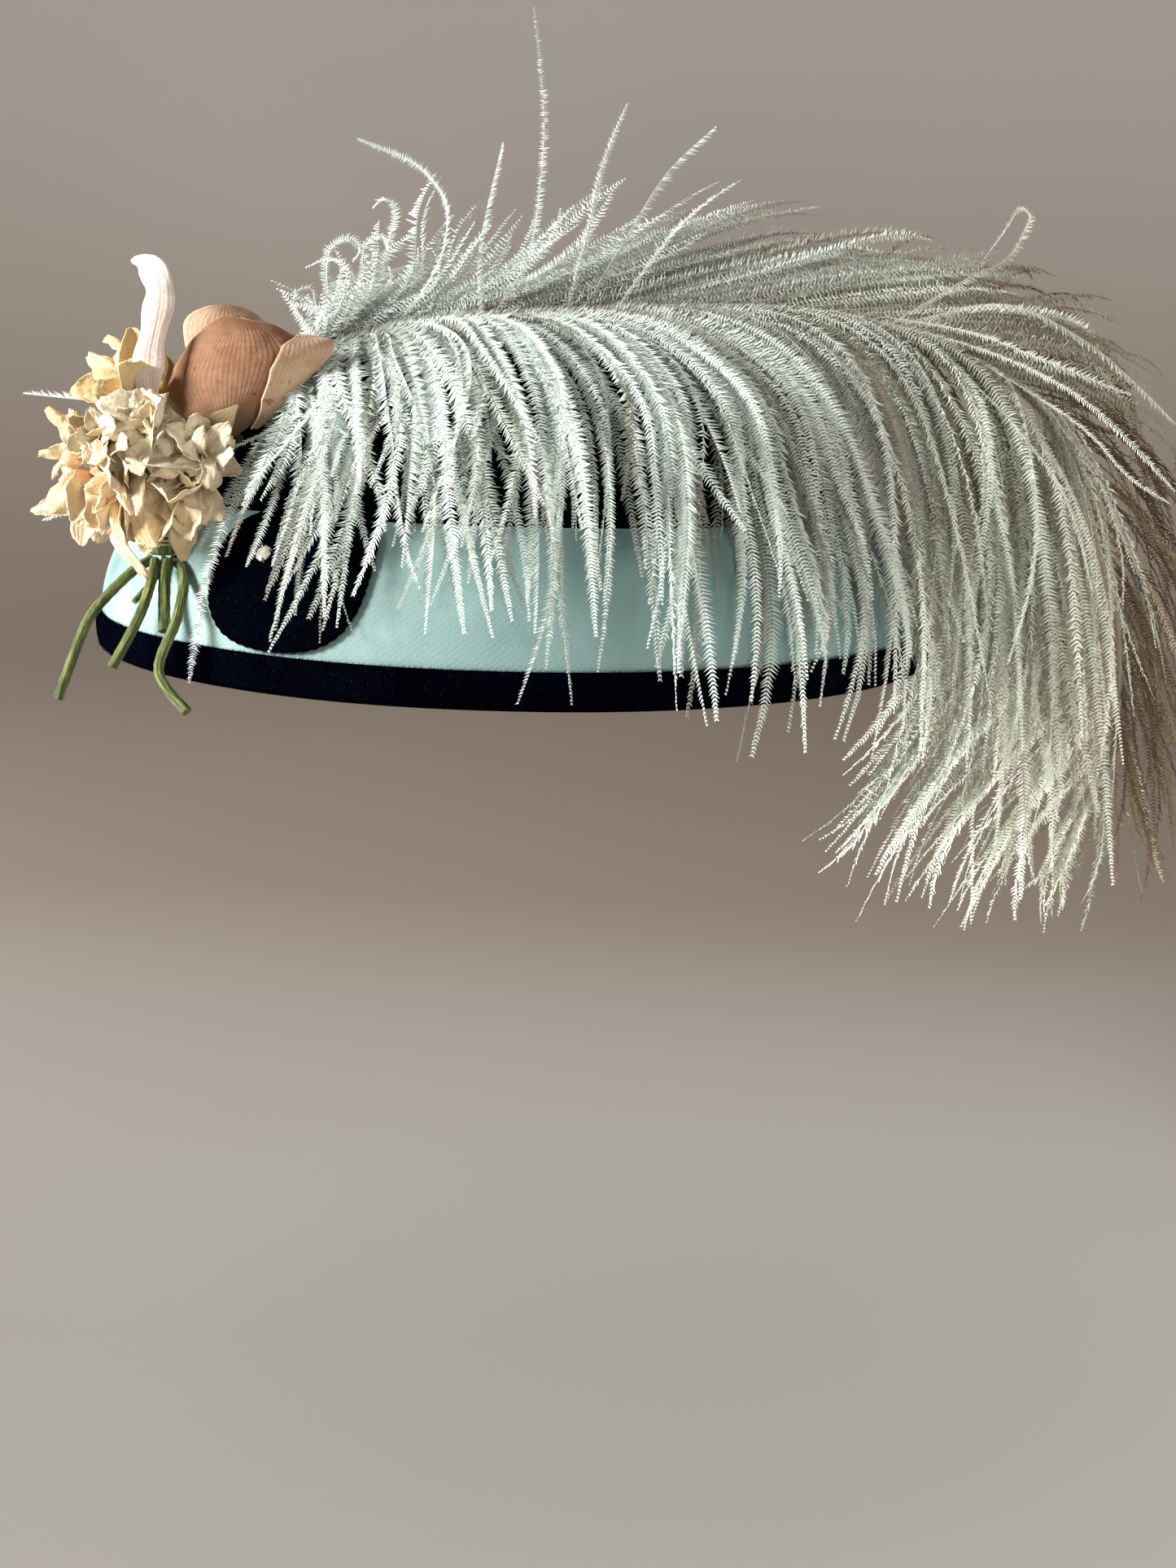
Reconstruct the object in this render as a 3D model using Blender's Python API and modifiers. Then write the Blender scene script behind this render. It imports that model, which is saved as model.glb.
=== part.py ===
"""A lady's tilt hat with two ostrich plumes and a bunch of cloth flowers.

Metres, +Z up along the crown's axis. -Y is the side shown to the front and +X the side that the
plumes fall over. The origin is the inside of the crown's top, where a head carries the hat.
"""

import math
import random

import bmesh
import bpy
from mathutils import Matrix, Vector

MM = 0.001
GAP = 0.3 * MM
TURN_STEPS = 44

# Felt body covered with velvet
WALL = 2.5 * MM
CROWN_RADIUS = 112 * MM
CROWN_RISE = 52.5 * MM
CROWN_POWER = 2.8
CROWN_RINGS = 6
CROWN_TOP_Z = WALL
BRIM_TOP_Z = CROWN_TOP_Z - CROWN_RISE
RIM_Z = -97.5 * MM
RIM_RADIUS = 138 * MM
BRIM_POWER = 1.65
BRIM_RINGS = 5

# Velvet band folded round the brim's edge
BINDING_WALL = 1.3 * MM
BINDING_HEIGHT = 11 * MM
BINDING_PUFF = 0.5 * MM
BRIM_EDGE_RADIUS = RIM_RADIUS - BINDING_WALL - GAP
BRIM_RISE = BRIM_TOP_Z - RIM_Z - BINDING_HEIGHT

# Round velvet piece lying on the brim, with its stone
DISC_HALF_WIDTH = 26 * MM
DISC_ANGLE = math.radians(-117.3)
DISC_POWER = 3.0
DISC_SPOKES = 24
DISC_THICKNESS = 1.4 * MM
DISC_LIFT = 2.4 * GAP
STONE_RADIUS = 2.8 * MM
STONE_TABLE_RADIUS = 1.6 * MM
STONE_HEIGHT = 1.8 * MM
STONE_ANGLE = math.radians(-120.8)
STONE_DOWN = 0.42

# Plumes
QUILL_RADIUS = 1.6 * MM
QUILL_TIP_RADIUS = 0.9 * MM
QUILL_STATIONS = 14
LOCK_THICKNESS = 3.0 * MM
LOCK_SECTIONS = 6
LOCK_CLEARANCE = 3.4 * MM
LOCK_TIP_WIDTH = 1.0 * MM
LOCK_TAPER = ((0.0, 0.6), (0.3, 1.0), (0.7, 0.75), (1.0, 0.12))

# Quill routes in mm: x, y, z
FRONT_QUILL = (
    (-57, -58, -3.6),
    (-41, -46, 1.8),
    (-19, -38, 6),
    (3, -30, 8.5),
    (49, -20, 12),
    (93, -18, 12),
    (129, -24, 4),
    (146, -32, -10),
    (156, -40, -30),
)
BACK_QUILL = (
    (4, 26, 3.6),
    (40, 30, 5),
    (86, 40, 0),
    (130, 48, -2),
    (168, 52, -8),
    (196, 52, -34),
    (211, 46, -76),
    (214, 32, -116),
    (206, 10, -148),
)

# Locks in mm, a row for each: place on the quill from 0 to 1, tip x, y, z, how far the lock first
# runs along the quill, how high it arches, how wide it is, then its fall or rise at the tip as a
# share of its reach
FRONT_WISP = ((0.02, -146, -54, -20, -30, 8, 5, 0.1),)
FRONT_HANGING = (
    (0.03, -83, -124, -91, 12, -30, 6, 0.30),
    (0.06, -56, -141, -82, 20, -4, 10, 0.42),
    (0.11, -27, -143, -76, 14, 4, 15, 0.42),
    (0.18, -1, -143, -72, 18, 8, 15, 0.42),
    (0.25, 24, -146, -91, 22, 9, 15, 0.42),
    (0.32, 53, -141, -98, 26, 9, 15, 0.42),
    (0.43, 83, -119, -112, 30, 9, 15, 0.42),
    (0.55, 111, -92, -112, 30, 9, 15, 0.42),
    (0.67, 130, -78, -126, 26, 8, 15, 0.42),
    (0.78, 146, -70, -140, 20, 6, 15, 0.4),
    (0.88, 162, -64, -158, 14, 4, 15, 0.4),
    (0.97, 184, -54, -164, 6, 4, 14, 0.4),
)
FRONT_RISING = (
    (0.00, -72, -14, 8, -16, 12, 12, 0.0),
    (0.04, -60, -12, 28, -12, 12, 12, 0.0),
    (0.08, -52, 0, 62, 6, 14, 10, -0.3),
    (0.13, -23, 12, 44, 10, 12, 16, -0.2),
    (0.18, -8, 20, 62, 8, 8, 12, -0.3),
    (0.22, 1, 10, 107, 12, 10, 10, -0.35),
    (0.26, 31, 30, 76, 18, 12, 15, -0.2),
    (0.31, 62, 40, 70, 20, 14, 17, -0.1),
    (0.38, 92, 56, 46, 22, 20, 19, 0.0),
    (0.46, 124, 62, 40, 24, 22, 19, 0.05),
    (0.56, 150, 58, 32, 26, 22, 19, 0.1),
    (0.66, 174, 46, 24, 26, 20, 19, 0.12),
    (0.78, 196, 22, 6, 22, 16, 17, 0.16),
    (0.90, 212, -4, -26, 16, 12, 15, 0.2),
)
BACK_OUTER = (
    (0.18, 150, 94, 32, 30, 10, 18, 0.1),
    (0.27, 190, 98, 20, 30, 14, 19, 0.15),
    (0.36, 216, 96, 0, 30, 16, 19, 0.2),
    (0.46, 234, 92, -32, 24, 14, 19, 0.25),
    (0.56, 246, 84, -72, 16, 10, 19, 0.3),
    (0.66, 252, 72, -112, 8, 8, 19, 0.35),
    (0.76, 250, 58, -150, 4, 6, 18, 0.35),
    (0.86, 240, 36, -174, 2, 4, 17, 0.35),
    (0.97, 218, 10, -186, 2, 2, 15, 0.35),
)
BACK_INNER = (
    (0.46, 196, -8, -112, 12, 6, 17, 0.4),
    (0.54, 204, -10, -142, 10, 6, 17, 0.4),
    (0.62, 110, -34, -150, 6, 4, 13, 0.12),
    (0.69, 98, -40, -164, 4, 2, 13, 0.12),
    (0.76, 116, -40, -173, 4, 0, 14, 0.32),
    (0.83, 134, -38, -181, 2, 0, 14, 0.34),
    (0.90, 152, -36, -188, 2, 0, 14, 0.36),
    (0.95, 172, -32, -186, 2, 0, 14, 0.36),
    (0.99, 190, -22, -180, 2, 0, 13, 0.36),
)

# Tie and wires that carry the flowers, seated on the brim
TIE_RADIUS = 4.4 * MM
TIE_TOP_Z = -50 * MM
TIE_FOOT_Z = -63 * MM
TIE_ANGLE = math.radians(-138)
WIRE_RADIUS = 0.9 * MM
CALYX_CENTRE = (-83 * MM, -86 * MM)
CALYX_RADIUS = 6 * MM
CALYX_TOP_Z = -28.3 * MM
CALYX_HEIGHT = 7 * MM

# Petal spines in mm: x, y, z, half width, how far the sides bend back, rise of the sides
PETAL_WALL = 1.0 * MM
PETAL_COLUMNS = 5
PETALS = {
    "rose_petal_cup": (
        (-80, -91.6, -27.8, 3.5, 0.6, 0.0),
        (-76, -100, -20, 14, 6, 0.3),
        (-74, -102, -10, 24, 12, 0.28),
        (-74, -99, -2, 20, 11, 0.0),
        (-76, -92, 4.5, 11, 6, -0.2),
    ),
    "rose_petal_curl": (
        (-88.6, -88, -27.6, 2.6, 0, 0.0),
        (-98.5, -98, -20.5, 4.0, 1, 0.0),
        (-99.5, -100, -8, 6.0, 3, 0.0),
        (-98, -98, 3, 4.5, 3, 0.1),
        (-98.5, -92, 12, 4.5, 3, 0.3),
        (-103, -85, 18.5, 3.5, 1, 0.9),
        (-109, -80, 20, 1.5, 0, 2.0),
    ),
    "rose_petal_back_left": (
        (-87.6, -85, -27.6, 2.2, 0, 0.0),
        (-100, -80, -16, 6, 2, -0.3),
        (-104, -78, -5, 6, 2, -0.3),
    ),
    "rose_petal_back_right": (
        (-81, -82.6, -27.6, 3, 0, 0.0),
        (-83, -78, -14, 9, 3, 0.0),
        (-84, -76, 2, 12, 3, 0.0),
        (-83, -77, 8, 7, 1, 0.0),
    ),
    "rose_leaf": (
        (-85, -103, -28, 1.5, 0, -1.0),
        (-79, -107, -24, 4, 1, -1.0),
        (-74, -108, -19, 0.8, 0, -1.0),
    ),
}

# Pale flap lying on the cup petal: place up the petal from 0 to 1, its left edge across from -1
FOLD_LIFT = PETAL_WALL + 2 * GAP
FOLD_ROWS = ((0.10, 0.72), (0.28, 0.42), (0.46, 0.34), (0.64, 0.44), (0.80, 0.74))
FOLD_RIGHT_EDGE = 0.98

# Blossoms in mm: x, y, z of the heart, direction that it opens in, length, half angle
BLOSSOM_WALL = 1.0 * MM
BLOSSOM_SPOKES = 15
BLOSSOM_LOBE = 0.42
BLOSSOM_CRUMPLE = 1.4 * MM
BLOSSOMS = (
    (-103, -88, -19, -0.75, -0.15, 0.55, 24, 42),
    (-98, -107, -24, -0.1, -0.85, 0.45, 12, 58),
    (-122, -84, -32, -0.9, -0.3, 0.0, 14, 50),
    (-113, -103, -31, -0.5, -0.8, 0.2, 13, 52),
    (-84, -108, -33, 0.5, -0.75, -0.1, 13, 56),
    (-118, -92, -41, -0.35, -0.2, -0.85, 21, 30),
    (-105, -107, -40, 0.0, -0.15, -1.0, 21, 28),
    (-90, -105, -41, 0.35, -0.15, -0.9, 18, 30),
)

# Stems in mm: radius, place round the tie in degrees, then x, y, z of the points below it. A stem's
# slanted top lies under the tie by a share of its radius.
STEM_CIRCLE = 3.2 * MM
STEM_DROP = 0.95
STEMS = (
    (1.55, 170, (-108, -94, -68), (-117, -100, -78), (-121, -102, -86), (-128, -102, -104)),
    (1.55, -122, (-101, -100, -70), (-103, -107, -79), (-110, -111, -93)),
    (1.80, -50, (-97.5, -98, -70), (-96, -106, -83)),
    (1.55, 20, (-92, -97, -68), (-91, -112, -78), (-95.6, -116, -93), (-86.6, -122, -103)),
    (0.90, 95, (-101.5, -88.5, -69), (-106.5, -97, -76)),
)


def clear_scene():
    for old in list(bpy.data.objects):
        bpy.data.objects.remove(old)


def new_collection(name):
    collection = bpy.data.collections.new(name)
    bpy.context.scene.collection.children.link(collection)
    return collection


def material(name, colour, roughness, metallic=0.0):
    made = bpy.data.materials.new(name)
    made.use_nodes = True
    shader = made.node_tree.nodes["Principled BSDF"]
    shader.inputs["Base Color"].default_value = (*colour, 1)
    shader.inputs["Roughness"].default_value = roughness
    shader.inputs["Metallic"].default_value = metallic
    return made


def add_mesh(name, mesh, finish, collection, smooth=True):
    mesh.materials.clear()
    mesh.materials.append(finish)
    if smooth:
        mesh.shade_smooth()
    thing = bpy.data.objects.new(name, mesh)
    collection.objects.link(thing)
    return thing


def mesh_from(shape, name):
    mesh = bpy.data.meshes.new(name)
    shape.to_mesh(mesh)
    shape.free()
    return mesh


def solidify(thing, thickness, offset):
    shell = thing.modifiers.new("Wall", "SOLIDIFY")
    shell.thickness = thickness
    shell.offset = offset
    shell.use_even_offset = True


def turned_shell(name, profile, thickness, finish, collection):
    """A profile of (radius, height) rows, top to bottom, turned and given a wall inwards."""
    mesh = bpy.data.meshes.new(name)
    edges = [(row, row + 1) for row in range(len(profile) - 1)]
    mesh.from_pydata([(radius, 0, height) for radius, height in profile], edges, [])
    thing = add_mesh(name, mesh, finish, collection, smooth=False)
    turn = thing.modifiers.new("Turn", "SCREW")
    turn.steps = TURN_STEPS
    turn.render_steps = TURN_STEPS
    turn.use_merge_vertices = True
    turn.merge_threshold = 0.05 * MM
    solidify(thing, thickness, -1)
    return thing


def quarter_oval(radius, rise, power, rings):
    """Rows from (0, rise) out and down to (radius, 0)."""
    rows = []
    for ring in range(rings + 1):
        angle = math.pi / 2 * ring / rings
        out = radius * max(math.sin(angle), 0) ** (2 / power)
        up = rise * max(math.cos(angle), 0) ** (2 / power)
        rows.append((out, up))
    return rows


def crown_profile():
    oval = quarter_oval(CROWN_RADIUS, CROWN_RISE, CROWN_POWER, CROWN_RINGS)
    rows = [(out, up + BRIM_TOP_Z) for out, up in oval]
    return rows + [(CROWN_RADIUS, BRIM_TOP_Z - WALL)]


def brim_profile(rings=BRIM_RINGS):
    """From the crown's foot, level for a step, then down to the bound edge."""
    inner = CROWN_RADIUS + GAP
    level = inner + 1.2 * MM
    oval = quarter_oval(BRIM_EDGE_RADIUS - level, BRIM_RISE, BRIM_POWER, rings)
    edge_z = RIM_Z + BINDING_WALL + 4 * GAP
    rows = [(inner, BRIM_TOP_Z)]
    rows += [(level + out, up + BRIM_TOP_Z - BRIM_RISE) for out, up in oval]
    return rows + [(BRIM_EDGE_RADIUS, edge_z)]


def binding_profile():
    """A U round the brim's edge, from the outer side's top down and up the inner side."""
    inner = BRIM_EDGE_RADIUS - WALL - GAP - BINDING_WALL
    top_z = RIM_Z + BINDING_HEIGHT
    return (
        (RIM_RADIUS, top_z),
        (RIM_RADIUS + BINDING_PUFF, RIM_Z + 0.6 * BINDING_HEIGHT),
        (RIM_RADIUS + 0.6 * BINDING_PUFF, RIM_Z + 0.22 * BINDING_HEIGHT),
        (RIM_RADIUS - 1.2 * MM, RIM_Z),
        (inner + 1.2 * MM, RIM_Z),
        (inner, RIM_Z + 1.2 * MM),
        (inner, top_z),
    )


def between(rows, value):
    """The rest of a row at this first column, read straight between the rows beside it."""
    if value <= rows[0][0]:
        return rows[0][1:]
    for low, high in zip(rows, rows[1:]):
        if value <= high[0]:
            share = (value - low[0]) / (high[0] - low[0])
            return tuple(a + (b - a) * share for a, b in zip(low[1:], high[1:]))
    return rows[-1][1:]


def brim_point(angle, down, lift):
    """On the brim: down runs from 0 at the crown's foot to 1 at the binding."""
    rows = brim_profile(rings=18)[:-1]
    lengths = [0.0]
    for (r0, z0), (r1, z1) in zip(rows, rows[1:]):
        lengths.append(lengths[-1] + math.hypot(r1 - r0, z1 - z0))
    table = [(length / lengths[-1], r, z) for length, (r, z) in zip(lengths, rows)]
    radius, height = between(table, down)
    before = between(table, down - 0.03)
    after = between(table, down + 0.03)
    run, fall = after[0] - before[0], before[1] - after[1]
    size = math.hypot(run, fall)
    radius += lift * fall / size
    height += lift * run / size
    return Vector((radius * math.cos(angle), radius * math.sin(angle), height))


def brim_length():
    rows = brim_profile(rings=18)[:-1]
    return sum(math.hypot(b[0] - a[0], b[1] - a[1]) for a, b in zip(rows, rows[1:]))


def round_sheet(spokes, cuts):
    """A flat disc of radius 1 facing up, with the spokes cut into rings."""
    shape = bmesh.new()
    bmesh.ops.create_circle(shape, cap_ends=True, cap_tris=True, segments=spokes, radius=1)
    inner = [edge for edge in shape.edges if not edge.is_boundary]
    bmesh.ops.subdivide_edges(shape, edges=inner, cuts=cuts)
    return shape


def make_disc(finish, collection):
    """A round grid laid on the brim's curve, with a wall outwards."""
    shape = round_sheet(DISC_SPOKES, 2)
    half = brim_length() / 2
    for vert in shape.verts:
        reach = vert.co.length
        angle = math.atan2(vert.co.y, vert.co.x)
        wide = abs(math.cos(angle)) ** DISC_POWER + abs(math.sin(angle)) ** DISC_POWER
        stretch = reach / wide ** (1 / DISC_POWER)
        across = stretch * math.cos(angle) * DISC_HALF_WIDTH
        down = 0.5 - 0.5 * stretch * math.sin(angle) * (half - 1.2 * MM) / half
        radius = brim_point(0, down, 0).x
        vert.co = brim_point(DISC_ANGLE + across / radius, down, DISC_LIFT)
    thing = add_mesh("velvet_disc", mesh_from(shape, "velvet_disc"), finish, collection)
    solidify(thing, DISC_THICKNESS, 1)
    return thing


def make_stone(finish, collection):
    """Eight side facets and a table, with its flat back on the disc."""
    shape = bmesh.new()
    bmesh.ops.create_cone(
        shape,
        cap_ends=True,
        segments=8,
        radius1=STONE_RADIUS,
        radius2=STONE_TABLE_RADIUS,
        depth=STONE_HEIGHT,
    )
    lift = DISC_LIFT + DISC_THICKNESS + GAP + STONE_HEIGHT / 2
    seat = brim_point(STONE_ANGLE, STONE_DOWN, lift)
    outward = (seat - brim_point(STONE_ANGLE, STONE_DOWN, 0)).normalized()
    turn = outward.to_track_quat("Z", "Y").to_matrix().to_4x4()
    bmesh.ops.transform(shape, matrix=Matrix.Translation(seat) @ turn, verts=shape.verts)
    return add_mesh("rhinestone", mesh_from(shape, "rhinestone"), finish, collection, False)


def smooth_route(rows, share):
    """A point on a smooth curve through the rows, at a share of its way from 0 to 1."""
    place = min(max(share, 0), 0.99999) * (len(rows) - 1)
    index = int(place)
    t = place - index
    picks = [rows[min(max(index + step, 0), len(rows) - 1)] for step in (-1, 0, 1, 2)]
    a, b, c, d = (Vector(pick) * MM for pick in picks)
    curve = 2 * b + (c - a) * t + (2 * a - 5 * b + 4 * c - d) * t * t
    return (curve + (3 * b - a - 3 * c + d) * t ** 3) / 2


def route_direction(rows, share):
    return (smooth_route(rows, share + 0.01) - smooth_route(rows, share - 0.01)).normalized()


def hat_radius(height):
    """The hat's outer radius at a height, 0 above the crown."""
    if height >= CROWN_TOP_Z:
        return 0.0
    if height >= BRIM_TOP_Z:
        share = (height - BRIM_TOP_Z) / CROWN_RISE
        return CROWN_RADIUS * (1 - share ** CROWN_POWER) ** (1 / CROWN_POWER)
    drop = max((height - BRIM_TOP_Z + BRIM_RISE) / BRIM_RISE, 0)
    run = BRIM_EDGE_RADIUS - CROWN_RADIUS
    return CROWN_RADIUS + run * (1 - drop ** BRIM_POWER) ** (1 / BRIM_POWER) + 2 * MM * (1 - drop)


def pushed_clear(point, clearance):
    """The point moved out of the hat, upwards over the crown's top and outwards elsewhere."""
    out = math.hypot(point.x, point.y)
    if point.z < RIM_Z - 8 * MM:
        return point
    if out < 0.72 * CROWN_RADIUS:
        share = 1 - (out / CROWN_RADIUS) ** CROWN_POWER
        top = BRIM_TOP_Z + CROWN_RISE * share ** (1 / CROWN_POWER)
        return Vector((point.x, point.y, max(point.z, top + clearance)))
    least = hat_radius(point.z - 0.5 * clearance) + clearance
    if point.z < BRIM_TOP_Z:
        least += DISC_THICKNESS
    if out >= least:
        return point
    return Vector((point.x * least / out, point.y * least / out, point.z))


def lock_path(rows, row, sections):
    """Leaves the quill forwards along it, arches and ends at its tip, clear of the hat."""
    share, tip_x, tip_y, tip_z, lead, arch, _, fall = row
    root = smooth_route(rows, share)
    tip = Vector((tip_x, tip_y, tip_z)) * MM
    along = route_direction(rows, share)
    reach = (tip - root).length
    level = Vector((tip.x - root.x, tip.y - root.y, 0))
    leave = root + along * lead * MM + level * 0.4 + Vector((0, 0, arch * MM))
    arrive = tip - level * max(0.4 - 0.75 * fall, 0) + Vector((0, 0, fall * reach))
    path = []
    for section in range(sections):
        t = section / (sections - 1)
        u = 1 - t
        point = root * u ** 3 + leave * 3 * u * u * t + arrive * 3 * u * t * t + tip * t ** 3
        path.append(point if section == 0 else pushed_clear(point, LOCK_CLEARANCE))
    for index in range(1, sections):
        middle = (path[index - 1] + path[index]) / 2
        path[index] += 2 * (pushed_clear(middle, LOCK_CLEARANCE) - middle)
    return path


def make_lock(path, quill_way, width, finish, collection):
    """A flat tapering body, its width along the quill where it starts, lofted through sections."""
    shape = bmesh.new()
    rings = []
    chord = (path[-1] - path[0]).normalized()
    across = (quill_way - chord * quill_way.dot(chord)).normalized()
    for index, point in enumerate(path):
        before = path[max(index - 1, 0)]
        after = path[min(index + 1, len(path) - 1)]
        tangent = (after - before).normalized()
        across = (across - tangent * across.dot(tangent)).normalized()
        scale = between(LOCK_TAPER, index / (len(path) - 1))[0]
        half_width = across * max(width * scale, LOCK_TIP_WIDTH) / 2
        half_depth = across.cross(tangent) * LOCK_THICKNESS * (0.3 + 0.7 * scale) / 2
        corners = (half_width, half_depth, -half_width, -half_depth)
        rings.append([shape.verts.new(point + corner) for corner in corners])
    for ring, following in zip(rings, rings[1:]):
        for side in range(4):
            nxt = (side + 1) % 4
            shape.faces.new((ring[side], ring[nxt], following[nxt], following[side]))
    shape.faces.new(rings[0][::-1])
    shape.faces.new(rings[-1])
    bmesh.ops.recalc_face_normals(shape, faces=shape.faces)
    return add_helper("lock", mesh_from(shape, "lock"), finish, collection)


def add_helper(name, mesh, finish, collection):
    helper = add_mesh(name, mesh, finish, collection)
    helper.hide_render = True
    helper.display_type = "WIRE"
    return helper


def join_all(thing, collection):
    """The object joined with every helper of the collection."""
    join = thing.modifiers.new("Join", "BOOLEAN")
    join.operation = "UNION"
    join.operand_type = "COLLECTION"
    join.collection = collection
    join.solver = "EXACT"


def tube_mesh(name, points, radii, resolution=2):
    """A curve with filled caps turned into one closed mesh."""
    data = bpy.data.curves.new(name, "CURVE")
    data.dimensions = "3D"
    data.bevel_depth = 1.0
    data.bevel_resolution = resolution
    data.use_fill_caps = True
    spline = data.splines.new("POLY")
    spline.points.add(len(points) - 1)
    for spot, point, radius in zip(spline.points, points, radii):
        spot.co = (*point, 1)
        spot.radius = radius
    guide = bpy.data.objects.new(name, data)
    bpy.context.scene.collection.objects.link(guide)
    bpy.context.view_layer.update()
    graph = bpy.context.evaluated_depsgraph_get()
    mesh = bpy.data.meshes.new_from_object(guide.evaluated_get(graph))
    bpy.data.objects.remove(guide)
    shape = bmesh.new()
    shape.from_mesh(mesh)
    bmesh.ops.remove_doubles(shape, verts=shape.verts, dist=0.02 * MM)
    bmesh.ops.recalc_face_normals(shape, faces=shape.faces)
    shape.to_mesh(mesh)
    shape.free()
    return mesh


def make_plume(name, rows, tables, seed, finish, collection):
    """A quill with a lock for each row, and where doubled one between each two, all one body."""
    chance = random.Random(seed)
    last = QUILL_STATIONS - 1
    points = [smooth_route(rows, step / last) for step in range(QUILL_STATIONS)]
    radii = [
        QUILL_RADIUS + (QUILL_TIP_RADIUS - QUILL_RADIUS) * step / last
        for step in range(QUILL_STATIONS)
    ]
    quill = add_mesh(name, tube_mesh(name, points, radii, 1), finish, collection)
    locks = new_collection(name + "_locks")
    for table, doubled in tables:
        middles = [[(a + b) / 2 for a, b in zip(low, high)] for low, high in zip(table, table[1:])]
        for middle in middles:
            middle[1] += chance.uniform(-3, 3)
            middle[3] += chance.uniform(-5, 8)
        for row in list(table) + middles * doubled:
            path = lock_path(rows, row, LOCK_SECTIONS)
            make_lock(path, route_direction(rows, row[0]), row[6] * MM, finish, locks)
    join_all(quill, locks)
    return quill


def petal_point(rows, across, up):
    """On a petal's sheet: across from -1 to 1, up from 0 at its base to 1."""
    place = min(max(up, 0), 1) * (len(rows) - 1)
    index = min(int(place), len(rows) - 2)
    picks = [rows[min(max(index + step, 0), len(rows) - 1)] for step in (-1, 0, 1, 2)]
    a, b, c, d = (Vector(pick) * MM for pick in picks)
    t = place - index
    curve = 2 * b + (c - a) * t + (2 * a - 5 * b + 4 * c - d) * t * t
    x, y, z, half_width, bend, rise = (curve + (3 * b - a - 3 * c + d) * t ** 3) / 2
    slope = rise / MM
    run = across * half_width / math.sqrt(1 + slope * slope)
    return Vector((x + run, y + bend * across * across, z + run * slope))


def make_petal(name, rows, finish, collection):
    shape = bmesh.new()
    columns, ranks = PETAL_COLUMNS, 2 * len(rows) - 2
    bmesh.ops.create_grid(shape, x_segments=columns, y_segments=ranks, size=1)
    for vert in shape.verts:
        vert.co = petal_point(rows, vert.co.x, (vert.co.y + 1) / 2)
    petal = add_mesh(name, mesh_from(shape, name), finish, collection)
    solidify(petal, PETAL_WALL, 0)
    return petal


def make_fold(finish, collection):
    """A flap on the outer face of the cup petal, between its own left edge and the petal's."""
    cup = PETALS["rose_petal_cup"]
    shape = bmesh.new()
    bmesh.ops.create_grid(shape, x_segments=3, y_segments=6, size=1)
    low, high = FOLD_ROWS[0][0], FOLD_ROWS[-1][0]
    step = 0.02
    for vert in shape.verts:
        up = low + (high - low) * (vert.co.y + 1) / 2
        left = between(FOLD_ROWS, up)[0]
        across = left + (FOLD_RIGHT_EDGE - left) * (vert.co.x + 1) / 2
        sideways = petal_point(cup, across + step, up) - petal_point(cup, across - step, up)
        upwards = petal_point(cup, across, up + step) - petal_point(cup, across, up - step)
        out = sideways.cross(upwards).normalized()
        vert.co = petal_point(cup, across, up) + out * FOLD_LIFT
    fold = add_mesh("rose_petal_fold", mesh_from(shape, "rose_petal_fold"), finish, collection)
    solidify(fold, PETAL_WALL, 0)
    return fold


def blossom_axis(row):
    heart = Vector(row[0:3]) * MM
    return heart, Vector(row[3:6]).normalized()


def make_blossom(number, row, chance, finish, collection):
    """Five joined lobes opening from the heart, crumpled at their edges."""
    length, half_angle = row[6] * MM, math.radians(row[7])
    shape = round_sheet(BLOSSOM_SPOKES, 1)
    phase = chance.uniform(0, math.tau)
    for vert in shape.verts:
        reach = vert.co.length
        angle = math.atan2(vert.co.y, vert.co.x)
        lobe = 1 - BLOSSOM_LOBE * reach * (1 - math.cos(5 * angle)) / 2
        slant = length * reach * lobe
        out = slant * math.sin(half_angle)
        rise = slant * math.cos(half_angle) + reach * chance.uniform(-1, 1) * BLOSSOM_CRUMPLE
        vert.co = Vector((out * math.cos(angle + phase), out * math.sin(angle + phase), rise))
    heart, way = blossom_axis(row)
    turn = way.to_track_quat("Z", "Y").to_matrix().to_4x4()
    bmesh.ops.transform(shape, matrix=Matrix.Translation(heart) @ turn, verts=shape.verts)
    name = f"blossom_{number}"
    blossom = add_mesh(name, mesh_from(shape, name), finish, collection)
    solidify(blossom, BLOSSOM_WALL, -1)
    return blossom


def tie_centre():
    """Where the bundle of wires lies against the brim's outer face."""
    radius = hat_radius(TIE_FOOT_Z) + TIE_RADIUS + 2 * GAP
    return Vector((radius * math.cos(TIE_ANGLE), radius * math.sin(TIE_ANGLE), 0))


def wire_route(start, end, way):
    """Up out of the tie and into a flower from behind."""
    first = start + Vector((0, 0, 9 * MM))
    second = end - way * 9 * MM
    route = []
    for step in range(5):
        t = step / 4
        u = 1 - t
        route.append(start * u ** 3 + first * 3 * u * u * t + second * 3 * u * t * t + end * t ** 3)
    return route


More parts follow.
